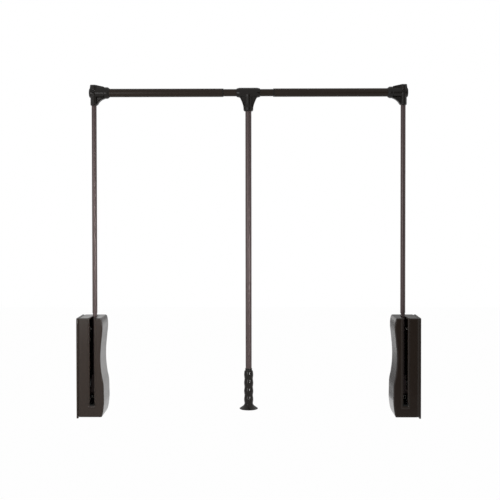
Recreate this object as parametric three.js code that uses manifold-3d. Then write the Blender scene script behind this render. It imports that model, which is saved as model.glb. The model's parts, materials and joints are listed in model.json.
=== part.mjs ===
// Pull down closet rod: two wall housings, two swinging arms, a telescopic rail and a pull rod.
// Millimetres. X runs from the left side panel to the right one, -Y faces the user, +Z is up.
// The origin is on the left panel's face, on the axis that the arms swing about.

import * as THREE from 'three';
import { mergeVertices } from 'three/addons/utils/BufferGeometryUtils.js';
import Module from 'manifold-3d';

const wasm = await Module();
wasm.setup();
const radians = THREE.MathUtils.degToRad;

// Driving dimensions of the whole lift
const panelSpacing = 890;
const armPlane = 40;
const railHeight = 785;
const swingDegrees = 110;

// Fits
const clearance = 0.3;
const slotClearance = 0.4;
const overrun = 5;
const mergeDistance = 0.0001;

// Counts of facets
const largeRound = 24;
const mediumRound = 16;
const smallRound = 10;
const cornerSteps = 3;

// Housing cover and base, seen from the room: width is measured from the side panel
const frontReach = 52.5;
const backReach = 46.5;
const coverTop = 198.5;
const coverBottom = 58;
const coverWall = 2.5;
const topWidth = 67.8;
const waistWidth = 62.2;
const bulgeWidth = 71.1;
const footWidth = 67.4;
const innerEdgeRound = 3.5;
const innerEdgeBevel = 2;
const frontCorner = 3;
const backTopCorner = 8;
const backFootCorner = 22;
const coverStart = 4.7;
const coverBevelWidth = 4.3;
const coverBevelDepth = 1.6;
const rimWidth = 5;
const rimHeight = 0.8;
const rimCorner = 4.5;

// Mounting base
const baseThickness = 4.4;
const basePlate = 3;
const baseDrop = 3.5;
const baseBevel = 1;
const baseRimHeight = 10;
const baseRimWall = 2;
const bossRadius = 5;
const bossFloor = 1;
const wallHoleRadius = 2.6;
const wallHoleInset = 16;

// Screws
const screwShank = 2;
const screwHeadRadius = 4;
const screwHeadHeight = 2.4;
const smallShank = 1.6;
const smallHeadRadius = 3.1;
const smallHeadHeight = 1.9;
const screwTipLength = 1;

// Pivot bracket: a steel U with its web behind the rack
const bracketSheet = 2.5;
const bracketInnerWidth = 42.2;
const earFront = 20;
const earHalfHeight = 25;
const fixingHalfHeight = 42;
const fixingBack = 6;
const fixingScrewY = -8;
const fixingScrewZ = 34;
const guideTabReach = 9;
const guideTabHalfHeight = 20;

// Axle, clip and bushes
const axleRadius = 4;
const axleHeadRadius = 7;
const axleHeadHeight = 2.5;
const axleTail = 3;
const clipThickness = 1.2;
const clipRadius = 7;
const clipGrooveDepth = 1;
const clipMouth = 5;
const bushWall = 1.4;
const bushFlange = 1;
const bushFlangeRadius = 9;
const bushLength = 13;

// Lift lever: hub, gear sector, flat lever and spigot
const hubWall = 4.5;
const gearWidth = 12.6;
const gearModule = 1.5;
const gearTeeth = 20;
const pressureDegrees = 20;
const backlash = 0.2;
const teethAhead = 1;
const teethBehind = 7;
const flankSteps = 3;
const leverThickness = 10;
const leverCorner = 2;
const leverRootHeight = 44;
const leverRootReach = 3.5;
const spigotLength = 50;
const armScrewRise = 22;

// Rack, spring and damper
const rackDepth = 10.8;
const rackSpineWidth = 15.8;
const rackTail = 4;
const rackHeadRadius = 9.7;
const rackHeadHeight = 4;
const rackNeck = 27;
const springX = 20;
const springY = 21;
const springRadius = 9.5;
const springWire = 3;
const springLength = 128.7;
const springTurns = 11;
const springCoilSteps = 8;
const springWireSides = 5;
const endTurnGap = 0.7;
const seatHeight = 6;
const seatFootHeight = 20;
const seatFootThickness = 3.5;
const seatFront = 10.3;
const damperRadius = 5.5;
const damperWall = 1.2;
const damperLength = 90;
const damperStemRadius = 3;
const damperStemLength = 9;
const damperEndWall = 3;
const pistonRodRadius = 2;
const pistonHeight = 6;
const pistonRise = 12;
const rodSocketDepth = 9;

// Rubber buffers
const buffer = 5.5;
const bufferLip = 1.8;
const bufferLipHeight = 2.4;
const bufferSide = 0.8;
const stopBufferHeight = 8.5;
const stopBufferProud = 0.5;

// Arm tubes
const armDiameter = 13;
const armWall = 1.2;

// Hanging rail
const railDiameter = 22;
const railWall = 1.2;
const innerRailWall = 1.2;
const middleLength = 130.4;
const railOverlap = 188;
const railBushLength = 2.5;

// Elbow connector, measured from where the arm's and the rail's axes cross
const elbowSleeveWall = 2.2;
const elbowEnd = 12.4;
const elbowEndRound = 4.4;
const elbowSocketDepth = 8;
const elbowLipStart = 28;
const elbowLipEnd = 37;
const elbowLipRise = 1.7;
const elbowNose = 4;
const elbowSocketWall = 2.7;
const elbowSocketFoot = 31.4;
const elbowFootChamfer = 2.2;
const elbowTop = 20.9;
const elbowTopWidth = 12.5;
const elbowTopCorner = 1;
const elbowHoodEnd = 16;
const elbowHoodFoot = 11.8;
const elbowHoodRun = 26.5;
const elbowWeb = 1.2;
const gussetReach = 28.6;
const gussetOut = 26;
const gussetDrop = 29.5;
const gussetFromDegrees = 156;
const gussetToDegrees = 104;
const gussetHalfThickness = 7.5;
const hoodHalfThickness = 9;
const hoodBevel = 1.5;
const gussetSteps = 6;
const pocketDepth = 3;
const pocketMargin = 2;
const pocketHeight = 9;
const elbowScrewRise = 3;
const elbowScrewRecess = 1.4;
const armElbowScrewDrop = 22;

// Tee connector, measured from the rail's axis at its middle
const teeHalfLength = 31;
const teeWall = 3.2;
const teeEndChamfer = 8;
const teeEndWall = 1.3;
const teeDrop = 49;
const teeMouthRadius = 24.9;
const teeMouthDrop = 8;
const teeCollarRadius = 12.9;
const teeCollarHeight = 7;
const teeFootChamfer = 2.4;
const teeThroatSteps = 6;
const rodRise = 14;
const swivelBackDegrees = 25;
const swivelFrontDegrees = 115;
const slotEndDegrees = 12;
const rodScrewDrop = 38;

// Pull rod and hand grip, measured down from the rail's axis
const rodDiameter = 16;
const rodWall = 1.3;
const gripEnd = 831;
const gripLength = 106.7;
const gripShoulder = 4.9;
const gripRibRadius = 12.2;
const gripValleyRadius = 11.1;
const gripRibs = 4;
const gripRibSteps = 6;
const gripNeck = 5;
const gripMouth = 9.1;
const gripFootRadius = 24.2;
const gripFootHeight = 11;
const gripFootEdge = 1.5;
const gripFootChamfer = 0.8;
const gripFloor = 12;

// Sizes that follow from those above
const armRadius = armDiameter / 2;
const armBore = armRadius - armWall;
const railRadius = railDiameter / 2;
const innerRailRadius = railRadius - railWall - clearance;
const rodRadius = rodDiameter / 2;
const slotHalfWidth = leverThickness / 2 + slotClearance;
const frontFace = -frontReach;
const slotLip = frontReach + rimHeight;
const tubeStart = Math.hypot(coverTop + clearance, slotLip + armRadius / 2);
const pitchRadius = gearModule * gearTeeth / 2;
const rackPitch = Math.PI * gearModule;
const tipRadius = pitchRadius + gearModule;
const rootRadius = pitchRadius - 1.25 * gearModule;
const rackTravel = pitchRadius * radians(swingDegrees);
const bushRadius = axleRadius + clearance + bushWall;
const hubBore = bushRadius + clearance;
const hubRadius = hubBore + hubWall;
const coverInnerFront = frontFace + coverWall;
const bracketStart = coverStart + coverBevelWidth + clearance;
const earInner = bracketStart + bracketSheet;
const farEarInner = earInner + bracketInnerWidth;
const farEarOuter = farEarInner + bracketSheet;
const hubStart = earInner + clearance + bushFlange + clearance;
const hubEnd = farEarInner - clearance - bushFlange - clearance;
const rackRoot = pitchRadius + 1.25 * gearModule;
const rackBack = rackRoot + rackDepth;
const webFront = rackBack + clearance;
const webBack = webFront + bracketSheet;
const rackStart = earInner + clearance;
const rackHeadTop = rackNeck + rackHeadHeight;
const springBottom = rackHeadTop + clearance;
const springTop = springBottom + springLength;
const seatBottom = springTop + clearance;
const topBufferFront = armRadius + clearance;
const slotBack = topBufferFront + buffer + clearance;
const elbowSleeveRadius = railRadius + clearance + elbowSleeveWall;
const elbowLipRadius = elbowSleeveRadius + elbowLipRise;
const elbowSocketRadius = armRadius + clearance + elbowSocketWall;
const armTop = railRadius + clearance + elbowWeb + clearance;
const teeRadius = innerRailRadius + clearance + teeWall;
const gripStart = gripEnd - gripLength;
const gripRibPitch = (gripLength - gripShoulder - gripNeck - gripFootHeight) / gripRibs;
const gripScrewDrop = gripShoulder + gripRibPitch * (gripRibs - 1);
const rodBottom = gripEnd - gripFloor;

// Materials, one for each finish
function finish(color, roughness, metalness) {
  return new THREE.MeshStandardMaterial({ color, roughness, metalness });
}
const housingPlastic = finish(0x2a2622, 0.35, 0);
const connectorPlastic = finish(0x1c1b19, 0.45, 0);
const railPaint = finish(0x3a3029, 0.35, 0.4);
const armPaint = finish(0x5a5052, 0.35, 0.5);
const zincSteel = finish(0xa9aaa8, 0.35, 0.9);
const castZinc = finish(0x6f6f70, 0.5, 0.8);
const bushPlastic = finish(0xd8d2c0, 0.5, 0);
const springSteel = finish(0x55565a, 0.35, 0.9);
const rubber = finish(0x0c0c0c, 0.8, 0);

// Turns a closed geometry into a solid, with its faces pointing out
function toSolid(geometry) {
  const bare = geometry.clone();
  for (const name of ['normal', 'uv']) {
    bare.deleteAttribute(name);
  }
  const merged = mergeVertices(bare, mergeDistance);
  const places = merged.getAttribute('position');
  const index = merged.getIndex().array;
  const corners = [];
  const [a, b, c] = [new THREE.Vector3(), new THREE.Vector3(), new THREE.Vector3()];
  let volume = 0;
  for (let i = 0; i < index.length; i += 3) {
    const [p, q, r] = index.slice(i, i + 3);
    if (p !== q && q !== r && r !== p) {
      corners.push(p, q, r);
      a.fromBufferAttribute(places, p);
      b.fromBufferAttribute(places, q);
      c.fromBufferAttribute(places, r);
      volume += a.dot(b.cross(c));
    }
  }
  if (volume < 0) {
    corners.reverse();
  }
  return new wasm.Manifold(new wasm.Mesh({
    numProp: 3,
    vertProperties: new Float32Array(places.array),
    triVerts: new Uint32Array(corners),
  }));
}

// Gives a solid's surface back as a geometry
function toGeometry(solid) {
  const mesh = solid.getMesh();
  const geometry = new THREE.BufferGeometry();
  geometry.setAttribute('position', new THREE.BufferAttribute(mesh.vertProperties, 3));
  geometry.setIndex(new THREE.BufferAttribute(mesh.triVerts, 1));
  geometry.computeVertexNormals();
  return geometry;
}

function join(first, ...others) {
  return others.reduce((whole, other) => whole.add(other), first);
}

function cut(first, ...others) {
  return others.reduce((whole, other) => whole.subtract(other), first);
}

function piece(name, solid, material) {
  const mesh = new THREE.Mesh(solid.isBufferGeometry ? solid : toGeometry(solid), material);
  mesh.name = name;
  return mesh;
}

function block(x0, x1, y0, y1, z0, z1) {
  const geometry = new THREE.BoxGeometry(x1 - x0, y1 - y0, z1 - z0);
  geometry.translate((x0 + x1) / 2, (y0 + y1) / 2, (z0 + z1) / 2);
  return toSolid(geometry);
}

function rodAlongX(radius, x0, x1, y = 0, z = 0, sides = mediumRound) {
  const geometry = new THREE.CylinderGeometry(radius, radius, x1 - x0, sides);
  geometry.rotateZ(-Math.PI / 2).translate((x0 + x1) / 2, y, z);
  return toSolid(geometry);
}

function rodAlongY(radius, y0, y1, x = 0, z = 0, sides = smallRound) {
  const geometry = new THREE.CylinderGeometry(radius, radius, y1 - y0, sides);
  geometry.translate(x, (y0 + y1) / 2, z);
  return toSolid(geometry);
}

function rodAlongZ(radius, z0, z1, x = 0, y = 0, sides = mediumRound) {
  const geometry = new THREE.CylinderGeometry(radius, radius, z1 - z0, sides);
  geometry.rotateX(Math.PI / 2).translate(x, y, (z0 + z1) / 2);
  return toSolid(geometry);
}

function tubeAlongZ(radius, bore, z0, z1) {
  const core = rodAlongZ(bore, z0 - overrun, z1 + overrun, 0, 0, largeRound);
  return cut(rodAlongZ(radius, z0, z1, 0, 0, largeRound), core);
}

function tubeAlongX(radius, bore, x0, x1) {
  const core = rodAlongX(bore, x0 - overrun, x1 + overrun, 0, 0, largeRound);
  return cut(rodAlongX(radius, x0, x1, 0, 0, largeRound), core);
}

// Revolves a profile of [radius, height] points, which starts and ends on the axis, about Z
function turnedAboutZ(profile, sides = largeRound) {
  const points = profile.map(([radius, height]) => new THREE.Vector2(radius, height));
  return toSolid(new THREE.LatheGeometry(points, sides).rotateX(Math.PI / 2));
}

function turnedAboutX(profile, sides = largeRound) {
  const points = profile.map(([radius, height]) => new THREE.Vector2(radius, height));
  return toSolid(new THREE.LatheGeometry(points, sides).rotateZ(-Math.PI / 2));
}

function shapeOf(points) {
  return new THREE.Shape(points.map(([a, b]) => new THREE.Vector2(a, b)));
}

function extruded(shape, depth, bevel = 0) {
  const settings = { depth: depth - 2 * bevel, bevelEnabled: bevel > 0, curveSegments: cornerSteps };
  if (bevel > 0) {
    Object.assign(settings, { bevelSize: bevel, bevelThickness: bevel, bevelOffset: -bevel });
    settings.bevelSegments = 1;
  }
  return new THREE.ExtrudeGeometry(shape, settings).translate(0, 0, bevel);
}

// A shape drawn in (y, z), swept along X
function sweptAlongX(shape, x0, x1) {
  const basis = new THREE.Matrix4().makeBasis(
    new THREE.Vector3(0, 1, 0), new THREE.Vector3(0, 0, 1), new THREE.Vector3(1, 0, 0));
  return toSolid(extruded(shape, x1 - x0).applyMatrix4(basis).translate(x0, 0, 0));
}

// A shape drawn in (x, z), swept along Y
function sweptAlongY(shape, y0, y1, bevel = 0) {
  const geometry = extruded(shape, y1 - y0, bevel);
  return toSolid(geometry.rotateX(Math.PI / 2).translate(0, y1, 0));
}

// A shape drawn in (x, y), swept along Z
function sweptAlongZ(shape, z0, z1) {
  return toSolid(extruded(shape, z1 - z0).translate(0, 0, z0));
}

// Points round one corner of an outline, from one angle to another
function arc(centerA, centerB, radius, fromDegrees, toDegrees, steps = cornerSteps) {
  const points = [];
  for (let i = 0; i <= steps; i += 1) {
    const angle = radians(fromDegrees + (toDegrees - fromDegrees) * i / steps);
    points.push([centerA + radius * Math.cos(angle), centerB + radius * Math.sin(angle)]);
  }
  return points;
}

function roundedRectangle(halfA, halfB, radius) {
  return shapeOf([
    ...arc(halfA - radius, halfB - radius, radius, 0, 90),
    ...arc(radius - halfA, halfB - radius, radius, 90, 180),
    ...arc(radius - halfA, radius - halfB, radius, 180, 270),
    ...arc(halfA - radius, radius - halfB, radius, 270, 360),
  ]);
}

// The housing's outline seen from its side, as (y, z) points, drawn in by an inset
function sideOutline(bottom, inset) {
  const front = frontFace + inset;
  const back = backReach - inset;
  const top = coverTop - inset;
  const foot = inset - bottom;
  const small = Math.max(frontCorner - inset, frontCorner / 4);
  const high = Math.max(backTopCorner - inset, frontCorner / 4);
  const low = Math.max(backFootCorner - inset, frontCorner / 4);
  return [
    ...arc(back - high, top - high, high, 0, 90),
    ...arc(front + small, top - small, small, 90, 180),
    ...arc(front + small, foot + small, small, 180, 270),
    ...arc(back - low, foot + low, low, 270, 360, cornerSteps * 2),
  ];
}

// A solid through outlines of (y, z) points, each at its own x
function lofted(stations) {
  const places = stations.flatMap(({ x, outline }) => outline.flatMap(([y, z]) => [x, y, z]));
  const count = stations[0].outline.length;
  const faces = THREE.ShapeUtils.triangulateShape(
    stations[0].outline.map(([y, z]) => new THREE.Vector2(y, z)), []);
  const last = (stations.length - 1) * count;
  const index = faces.flatMap(([a, b, c]) => [c, b, a, last + a, last + b, last + c]);
  for (let station = 0; station < stations.length - 1; station += 1) {
    for (let i = 0; i < count; i += 1) {
      const a = station * count + i;
      const b = station * count + (i + 1) % count;
      index.push(a, b, b + count, a, b + count, a + count);
    }
  }
  const geometry = new THREE.BufferGeometry();
  geometry.setAttribute('position', new THREE.Float32BufferAttribute(places, 3));
  geometry.setIndex(index);
  return toSolid(geometry);
}

function mix(from, to, share) {
  return from + (to - from) * share;
}

// The cover's wavy inner side seen from the front, as an (x, z) shape drawn in by an inset
function wavyShape(inset, start) {
  const height = coverTop + coverBottom;
  const controlShares = [
    [1, topWidth - innerEdgeRound],
    [0.975, topWidth - innerEdgeRound / 3],
    [0.89, topWidth],
    [0.763, mix(waistWidth, topWidth, 0.45)],
    [0.636, waistWidth],
    [0.515, mix(waistWidth, bulgeWidth, 0.07)],
    [0.414, mix(waistWidth, bulgeWidth, 0.42)],
    [0.331, mix(waistWidth, bulgeWidth, 0.87)],
    [0.237, mix(waistWidth, bulgeWidth, 0.96)],
    [0.148, bulgeWidth],
    [0.089, mix(footWidth, bulgeWidth, 0.62)],
    [0.03, footWidth],
    [0, footWidth - innerEdgeRound],
  ];
  const controls = controlShares.map(([share, width]) => {
    return new THREE.Vector2(width - inset, share * height - coverBottom);
  });
  const edge = new THREE.SplineCurve(controls).getPoints(controls.length * 2);
  return shapeOf([
    [start, coverTop + overrun],
    [start, -coverBottom - overrun],
    [footWidth - innerEdgeRound - inset, -coverBottom - overrun],
    ...edge.reverse().map((point) => [point.x, point.y]),
    [topWidth - innerEdgeRound - inset, coverTop + overrun],
  ]);
}

// A screw standing on the origin: head above, shank and blunt tip below
function screw(shank, headRadius, headHeight, length) {
  return turnedAboutZ([
    [0, -length],
    [shank / 2, -length],
    [shank, screwTipLength - length],
    [shank, 0],
    [headRadius, 0],
    [headRadius, headHeight / 2],
    [headRadius * 0.8, headHeight * 0.9],
    [0, headHeight],
  ], smallRound);
}

const facingRoom = new THREE.Euler(0, Math.PI / 2, 0);
const facingFront = new THREE.Euler(Math.PI / 2, 0, 0);
const facingBack = new THREE.Euler(-Math.PI / 2, 0, 0);

function placed(mesh, x, y, z, turn) {
  mesh.position.set(x, y, z);
  if (turn) {
    mesh.rotation.copy(turn);
  }
  return mesh;
}

// Where the base is screwed to the side panel, as (y, z) places
function wallHoles() {
  const front = wallHoleInset - frontReach;
  const back = backReach - wallHoleInset;
  const low = backFootCorner / 2 - coverBottom;
  const high = coverTop - wallHoleInset;
  return [[front, low + fixingBack], [front, high], [back, high], [back - fixingBack, low]];
}

function bracketScrewPlaces() {
  return [[fixingScrewY, fixingScrewZ], [fixingScrewY, -fixingScrewZ]];
}

function seatScrewHeight() {
  return seatBottom + seatHeight + (seatFootHeight - seatHeight) / 2;
}

// Moulded tray: plate, edge, an upright rim that the cover snaps over, and screw bosses
function mountingBase() {
  const bottom = coverBottom + baseDrop;
  const rimInset = coverWall + clearance;
  const tray = lofted([
    { x: 0, outline: sideOutline(bottom, 0) },
    { x: baseThickness - baseBevel, outline: sideOutline(bottom, 0) },
    { x: baseThickness, outline: sideOutline(bottom, baseBevel) },
  ]);
  const rimTop = baseThickness + baseRimHeight;
  const rim = sweptAlongX(shapeOf(sideOutline(coverBottom, rimInset)), baseThickness / 2, rimTop);
  const hollow = sweptAlongX(
    shapeOf(sideOutline(coverBottom, rimInset + baseRimWall)), basePlate, rimTop + overrun);
  const boss = bracketStart - clearance;
  const bosses = bracketScrewPlaces().map(([y, z]) => rodAlongX(bossRadius, basePlate / 2, boss, y, z));
  const seatBoss = rodAlongX(
    bossRadius, basePlate / 2, bracketStart - clearance, springY, seatScrewHeight());
  const pads = join(...bosses, seatBoss);
  const bores = bracketScrewPlaces().map(
    ([y, z]) => rodAlongX(screwShank + clearance, bossFloor, boss + overrun, y, z, smallRound));
  const seatBore = rodAlongX(
    screwShank + clearance, bossFloor, boss + overrun, springY, seatScrewHeight(), smallRound);
  const holes = wallHoles().map(
    ([y, z]) => rodAlongX(wallHoleRadius, -overrun, basePlate + overrun, y, z, smallRound));
  return cut(join(cut(join(tray, rim), hollow), pads), ...bores, seatBore, ...holes);
}

// Where the lever's centre line crosses the cover's front face when the lift is right down
function lowestCrossing() {
  return -frontReach / Math.tan(Math.PI - radians(swingDegrees));
}

function stopBufferTop() {
  return lowestCrossing() - armRadius / Math.sin(radians(swingDegrees)) + armRadius;
}

// Snap-on shell with the slot that the lever swings through
function housingCover() {
  const bevelEnd = coverStart + coverBevelWidth;
  const blank = lofted([
    { x: coverStart, outline: sideOutline(coverBottom, coverBevelDepth) },
    { x: bevelEnd, outline: sideOutline(coverBottom, 0) },
    { x: bulgeWidth + overrun, outline: sideOutline(coverBottom, 0) },
  ]).intersect(sweptAlongY(wavyShape(0, coverStart - overrun), frontFace, backReach, innerEdgeBevel));
  const inside = sweptAlongX(
    shapeOf(sideOutline(coverBottom, coverWall)), coverStart - overrun, bulgeWidth + overrun,
  ).intersect(sweptAlongY(
    wavyShape(coverWall, coverStart - overrun), frontFace - overrun, backReach + overrun));
  const slotFoot = stopBufferTop();
  const pocketHalf = slotHalfWidth + bufferSide + clearance;
  const pocketFoot = slotFoot - stopBufferHeight - clearance;
  const rimHalf = pocketHalf + rimWidth - bufferSide;
  const cornerHeight = pocketFoot - rimWidth + rimCorner;
  const rimShape = shapeOf([
    [armPlane - rimHalf, coverTop - frontCorner],
    ...arc(armPlane - rimHalf + rimCorner, cornerHeight, rimCorner, 180, 270),
    ...arc(armPlane + rimHalf - rimCorner, cornerHeight, rimCorner, 270, 360),
    [armPlane + rimHalf, coverTop - frontCorner],
  ]);
  const rim = sweptAlongY(rimShape, frontFace - rimHeight, frontFace + coverWall, rimHeight);
  const slot = block(
    armPlane - slotHalfWidth, armPlane + slotHalfWidth, frontFace - overrun, coverInnerFront + overrun,
    slotFoot - overrun, coverTop + overrun);
  const topSlot = block(
    armPlane - slotHalfWidth, armPlane + slotHalfWidth, frontFace - overrun, slotBack,
    coverTop - coverWall - overrun, coverTop + overrun);
  const pocket = block(
    armPlane - pocketHalf, armPlane + pocketHalf, frontFace - overrun, coverInnerFront + overrun,
    pocketFoot, slotFoot + clearance);
  return cut(join(cut(blank, inside), rim.subtract(inside)), slot, topSlot, pocket);
}

// Steel U: a wall-side ear screwed to the base, a web behind the rack, a far ear, a guide tab
function pivotBracket() {
  const wallEar = join(
    block(bracketStart, earInner, -earFront, webBack, -earHalfHeight, earHalfHeight),
    block(bracketStart, earInner, -earFront, fixingBack, -fixingHalfHeight, fixingHalfHeight));
  const web = block(bracketStart, farEarOuter, webFront, webBack, -earHalfHeight, earHalfHeight);
  const farShape = shapeOf([
    [webBack, -earHalfHeight],
    [webBack, earHalfHeight],
    ...arc(0, 0, earFront, 75, 285, mediumRound / 2),
  ]);
  const farEar = sweptAlongX(farShape, farEarInner, farEarOuter);
  const tabStart = rackStart + rackSpineWidth + clearance;
  const tab = block(
    tabStart, tabStart + bracketSheet, webFront - guideTabReach, webFront + bracketSheet / 2,
    -guideTabHalfHeight, guideTabHalfHeight);
  const axleHole = rodAlongX(axleRadius + clearance, bracketStart - overrun, farEarOuter + overrun);
  const holes = bracketScrewPlaces().map(([y, z]) => rodAlongX(
    screwShank + clearance, bracketStart - overrun, earInner + overrun / 2, y, z, smallRound));
  return cut(join(wallEar, web, farEar, tab), axleHole, ...holes);
}

// Headed axle with a clip groove past the far ear
function pivotAxle() {
  const head = bracketStart - clearance;
  const grooveStart = farEarOuter + clearance;
  const grooveEnd = grooveStart + clipThickness + clearance;
  return turnedAboutX([
    [0, head - axleHeadHeight],
    [axleHeadRadius, head - axleHeadHeight],
    [axleHeadRadius, head],
    [axleRadius, head],
    [axleRadius, grooveStart],
    [axleRadius - clipGrooveDepth, grooveStart],
    [axleRadius - clipGrooveDepth, grooveEnd],
    [axleRadius, grooveEnd],
    [axleRadius, grooveEnd + axleTail],
    [0, grooveEnd + axleTail],
  ], mediumRound);
}

function axleClip() {
  const start = farEarOuter + clearance;
  const hole = axleRadius - clipGrooveDepth + clearance / 2;
  const ring = rodAlongX(clipRadius, start, start + clipThickness);
  const bore = rodAlongX(hole, start - overrun, start + clipThickness + overrun);
  const mouth = block(
    start - overrun, start + clipThickness + overrun, -clipMouth / 2, clipMouth / 2,
    -clipRadius - overrun, 0);
  return cut(ring, bore, mouth);
}

// Flanged bush; direction 1 points its sleeve away from the wall
function axleBush(flangeFace, direction) {
  const profile = [
    [axleRadius + clearance, flangeFace],
    [bushFlangeRadius, flangeFace],
    [bushFlangeRadius, flangeFace + direction * bushFlange],
    [bushRadius, flangeFace + direction * bushFlange],
    [bushRadius, flangeFace + direction * bushLength],
    [axleRadius + clearance, flangeFace + direction * bushLength],
    [axleRadius + clearance, flangeFace],
  ];
  return turnedAboutX(profile, mediumRound);
}

// One flank of an involute tooth: angle from the tooth's middle at a radius
function flankAngle(radius) {
  const baseRadius = pitchRadius * Math.cos(radians(pressureDegrees));
  const involute = (r) => {
    const pressure = Math.acos(Math.min(1, baseRadius / r));
    return Math.tan(pressure) - pressure;
  };
  const halfTooth = (rackPitch / 2 - backlash) / 2 / pitchRadius;
  return halfTooth + involute(pitchRadius) - involute(radius);
}

// The gear sector in (y, z): teeth from just above +Y round below the pivot, then the plain hub
function gearShape() {
  const toothAngle = 2 * Math.PI / gearTeeth;
  const points = [];
  const polar = (radius, angle) => points.push([radius * Math.cos(angle), radius * Math.sin(angle)]);
  for (let tooth = teethBehind; tooth >= -teethAhead; tooth -= 1) {
    const middle = -tooth * toothAngle;
    const baseRadius = Math.max(rootRadius, pitchRadius * Math.cos(radians(pressureDegrees)));
    polar(rootRadius, middle - toothAngle / 2);
    polar(rootRadius, middle - flankAngle(baseRadius));
    for (let step = 0; step <= flankSteps; step += 1) {
      const radius = mix(baseRadius, tipRadius, step / flankSteps);
      polar(radius, middle - flankAngle(radius));
    }
    for (let step = flankSteps; step >= 0; step -= 1) {
      const radius = mix(baseRadius, tipRadius, step / flankSteps);
      polar(radius, middle + flankAngle(radius));
    }
    polar(rootRadius, middle + flankAngle(baseRadius));
  }
  const end = (teethAhead + 0.5) * toothAngle;
  const start = 2 * Math.PI - (teethBehind + 0.5) * toothAngle;
  polar(rootRadius, end);
  for (let step = 0; step <= flankSteps * 2; step += 1) {
    polar(hubBore + hubWall / 2, mix(end, start, step / (flankSteps * 2)));
  }
  return shapeOf(points);
}

// Cast lever: it turns on the axle, drives the rack and carries the arm tube
function liftLever() {
  const hub = rodAlongX(hubRadius, hubStart, hubEnd, 0, 0, largeRound);
  const gear = sweptAlongX(gearShape(), hubStart, hubStart + gearWidth);
  const leverShape = roundedRectangle(leverThickness / 2, armRadius, leverCorner);
  const lever = sweptAlongZ(leverShape, 0, tubeStart).translate([armPlane, 0, 0]);
  const root = sweptAlongX(shapeOf([
    [-hubRadius, 0],
    [hubRadius, 0],
    [armRadius - leverCorner, leverRootHeight],
    [leverCorner - armRadius, leverRootHeight],
  ]), armPlane - leverThickness / 2 - leverRootReach, armPlane + leverThickness / 2 + leverRootReach);
  const spigot = rodAlongZ(
    armBore - clearance, tubeStart - overrun, tubeStart + spigotLength, armPlane, 0, mediumRound);
  const bore = rodAlongX(hubBore, hubStart - overrun, hubEnd + overrun, 0, 0, largeRound);
  const screwHole = rodAlongY(
    smallShank + clearance, 0, armRadius + overrun, armPlane, tubeStart + armScrewRise);
  return cut(join(hub, gear, lever, root, spigot), bore, screwHole);
}

// Toothed rack behind the gear, with a round head that carries the spring
function rackBar() {
  const firstTooth = Math.ceil(rackTravel / rackPitch) + teethAhead;
  const slope = Math.tan(radians(pressureDegrees));
  const halfTooth = (rackPitch / 2 - backlash) / 2;
  const points = [[rackBack, rackNeck + rackHeadHeight / 2]];
  points.push([rackBack, -(firstTooth + 1) * rackPitch - rackTail / 2]);
  points.push([rackRoot, -(firstTooth + 1) * rackPitch - rackTail / 2]);
  for (let tooth = -firstTooth - 1; tooth <= teethAhead; tooth += 1) {
    const middle = (tooth + 0.5) * rackPitch;
    const rootHalf = halfTooth + (rackRoot - pitchRadius) * slope;
    const tipHalf = halfTooth - gearModule * slope;
    points.push([rackRoot, middle - rootHalf], [pitchRadius - gearModule, middle - tipHalf]);
    points.push([pitchRadius - gearModule, middle + tipHalf], [rackRoot, middle + rootHalf]);
  }
  points.push([rackRoot, rackNeck + rackHeadHeight / 2]);
  const teeth = sweptAlongX(shapeOf(points), hubStart, hubStart + gearWidth);
  const spineFront = rackRoot + gearModule;
  const spine = block(
    rackStart, rackStart + rackSpineWidth, spineFront, rackBack,
    -(firstTooth + 1) * rackPitch - rackTail / 2, rackNeck + rackHeadHeight / 2);
  const head = rodAlongZ(rackHeadRadius, rackNeck, rackHeadTop, springX, springY, largeRound);
  const socket = rodAlongZ(
    pistonRodRadius + clearance, rackHeadTop - rodSocketDepth, rackHeadTop + overrun,
    springX, springY, smallRound);
  return cut(join(teeth, spine, head), socket);
}

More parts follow.
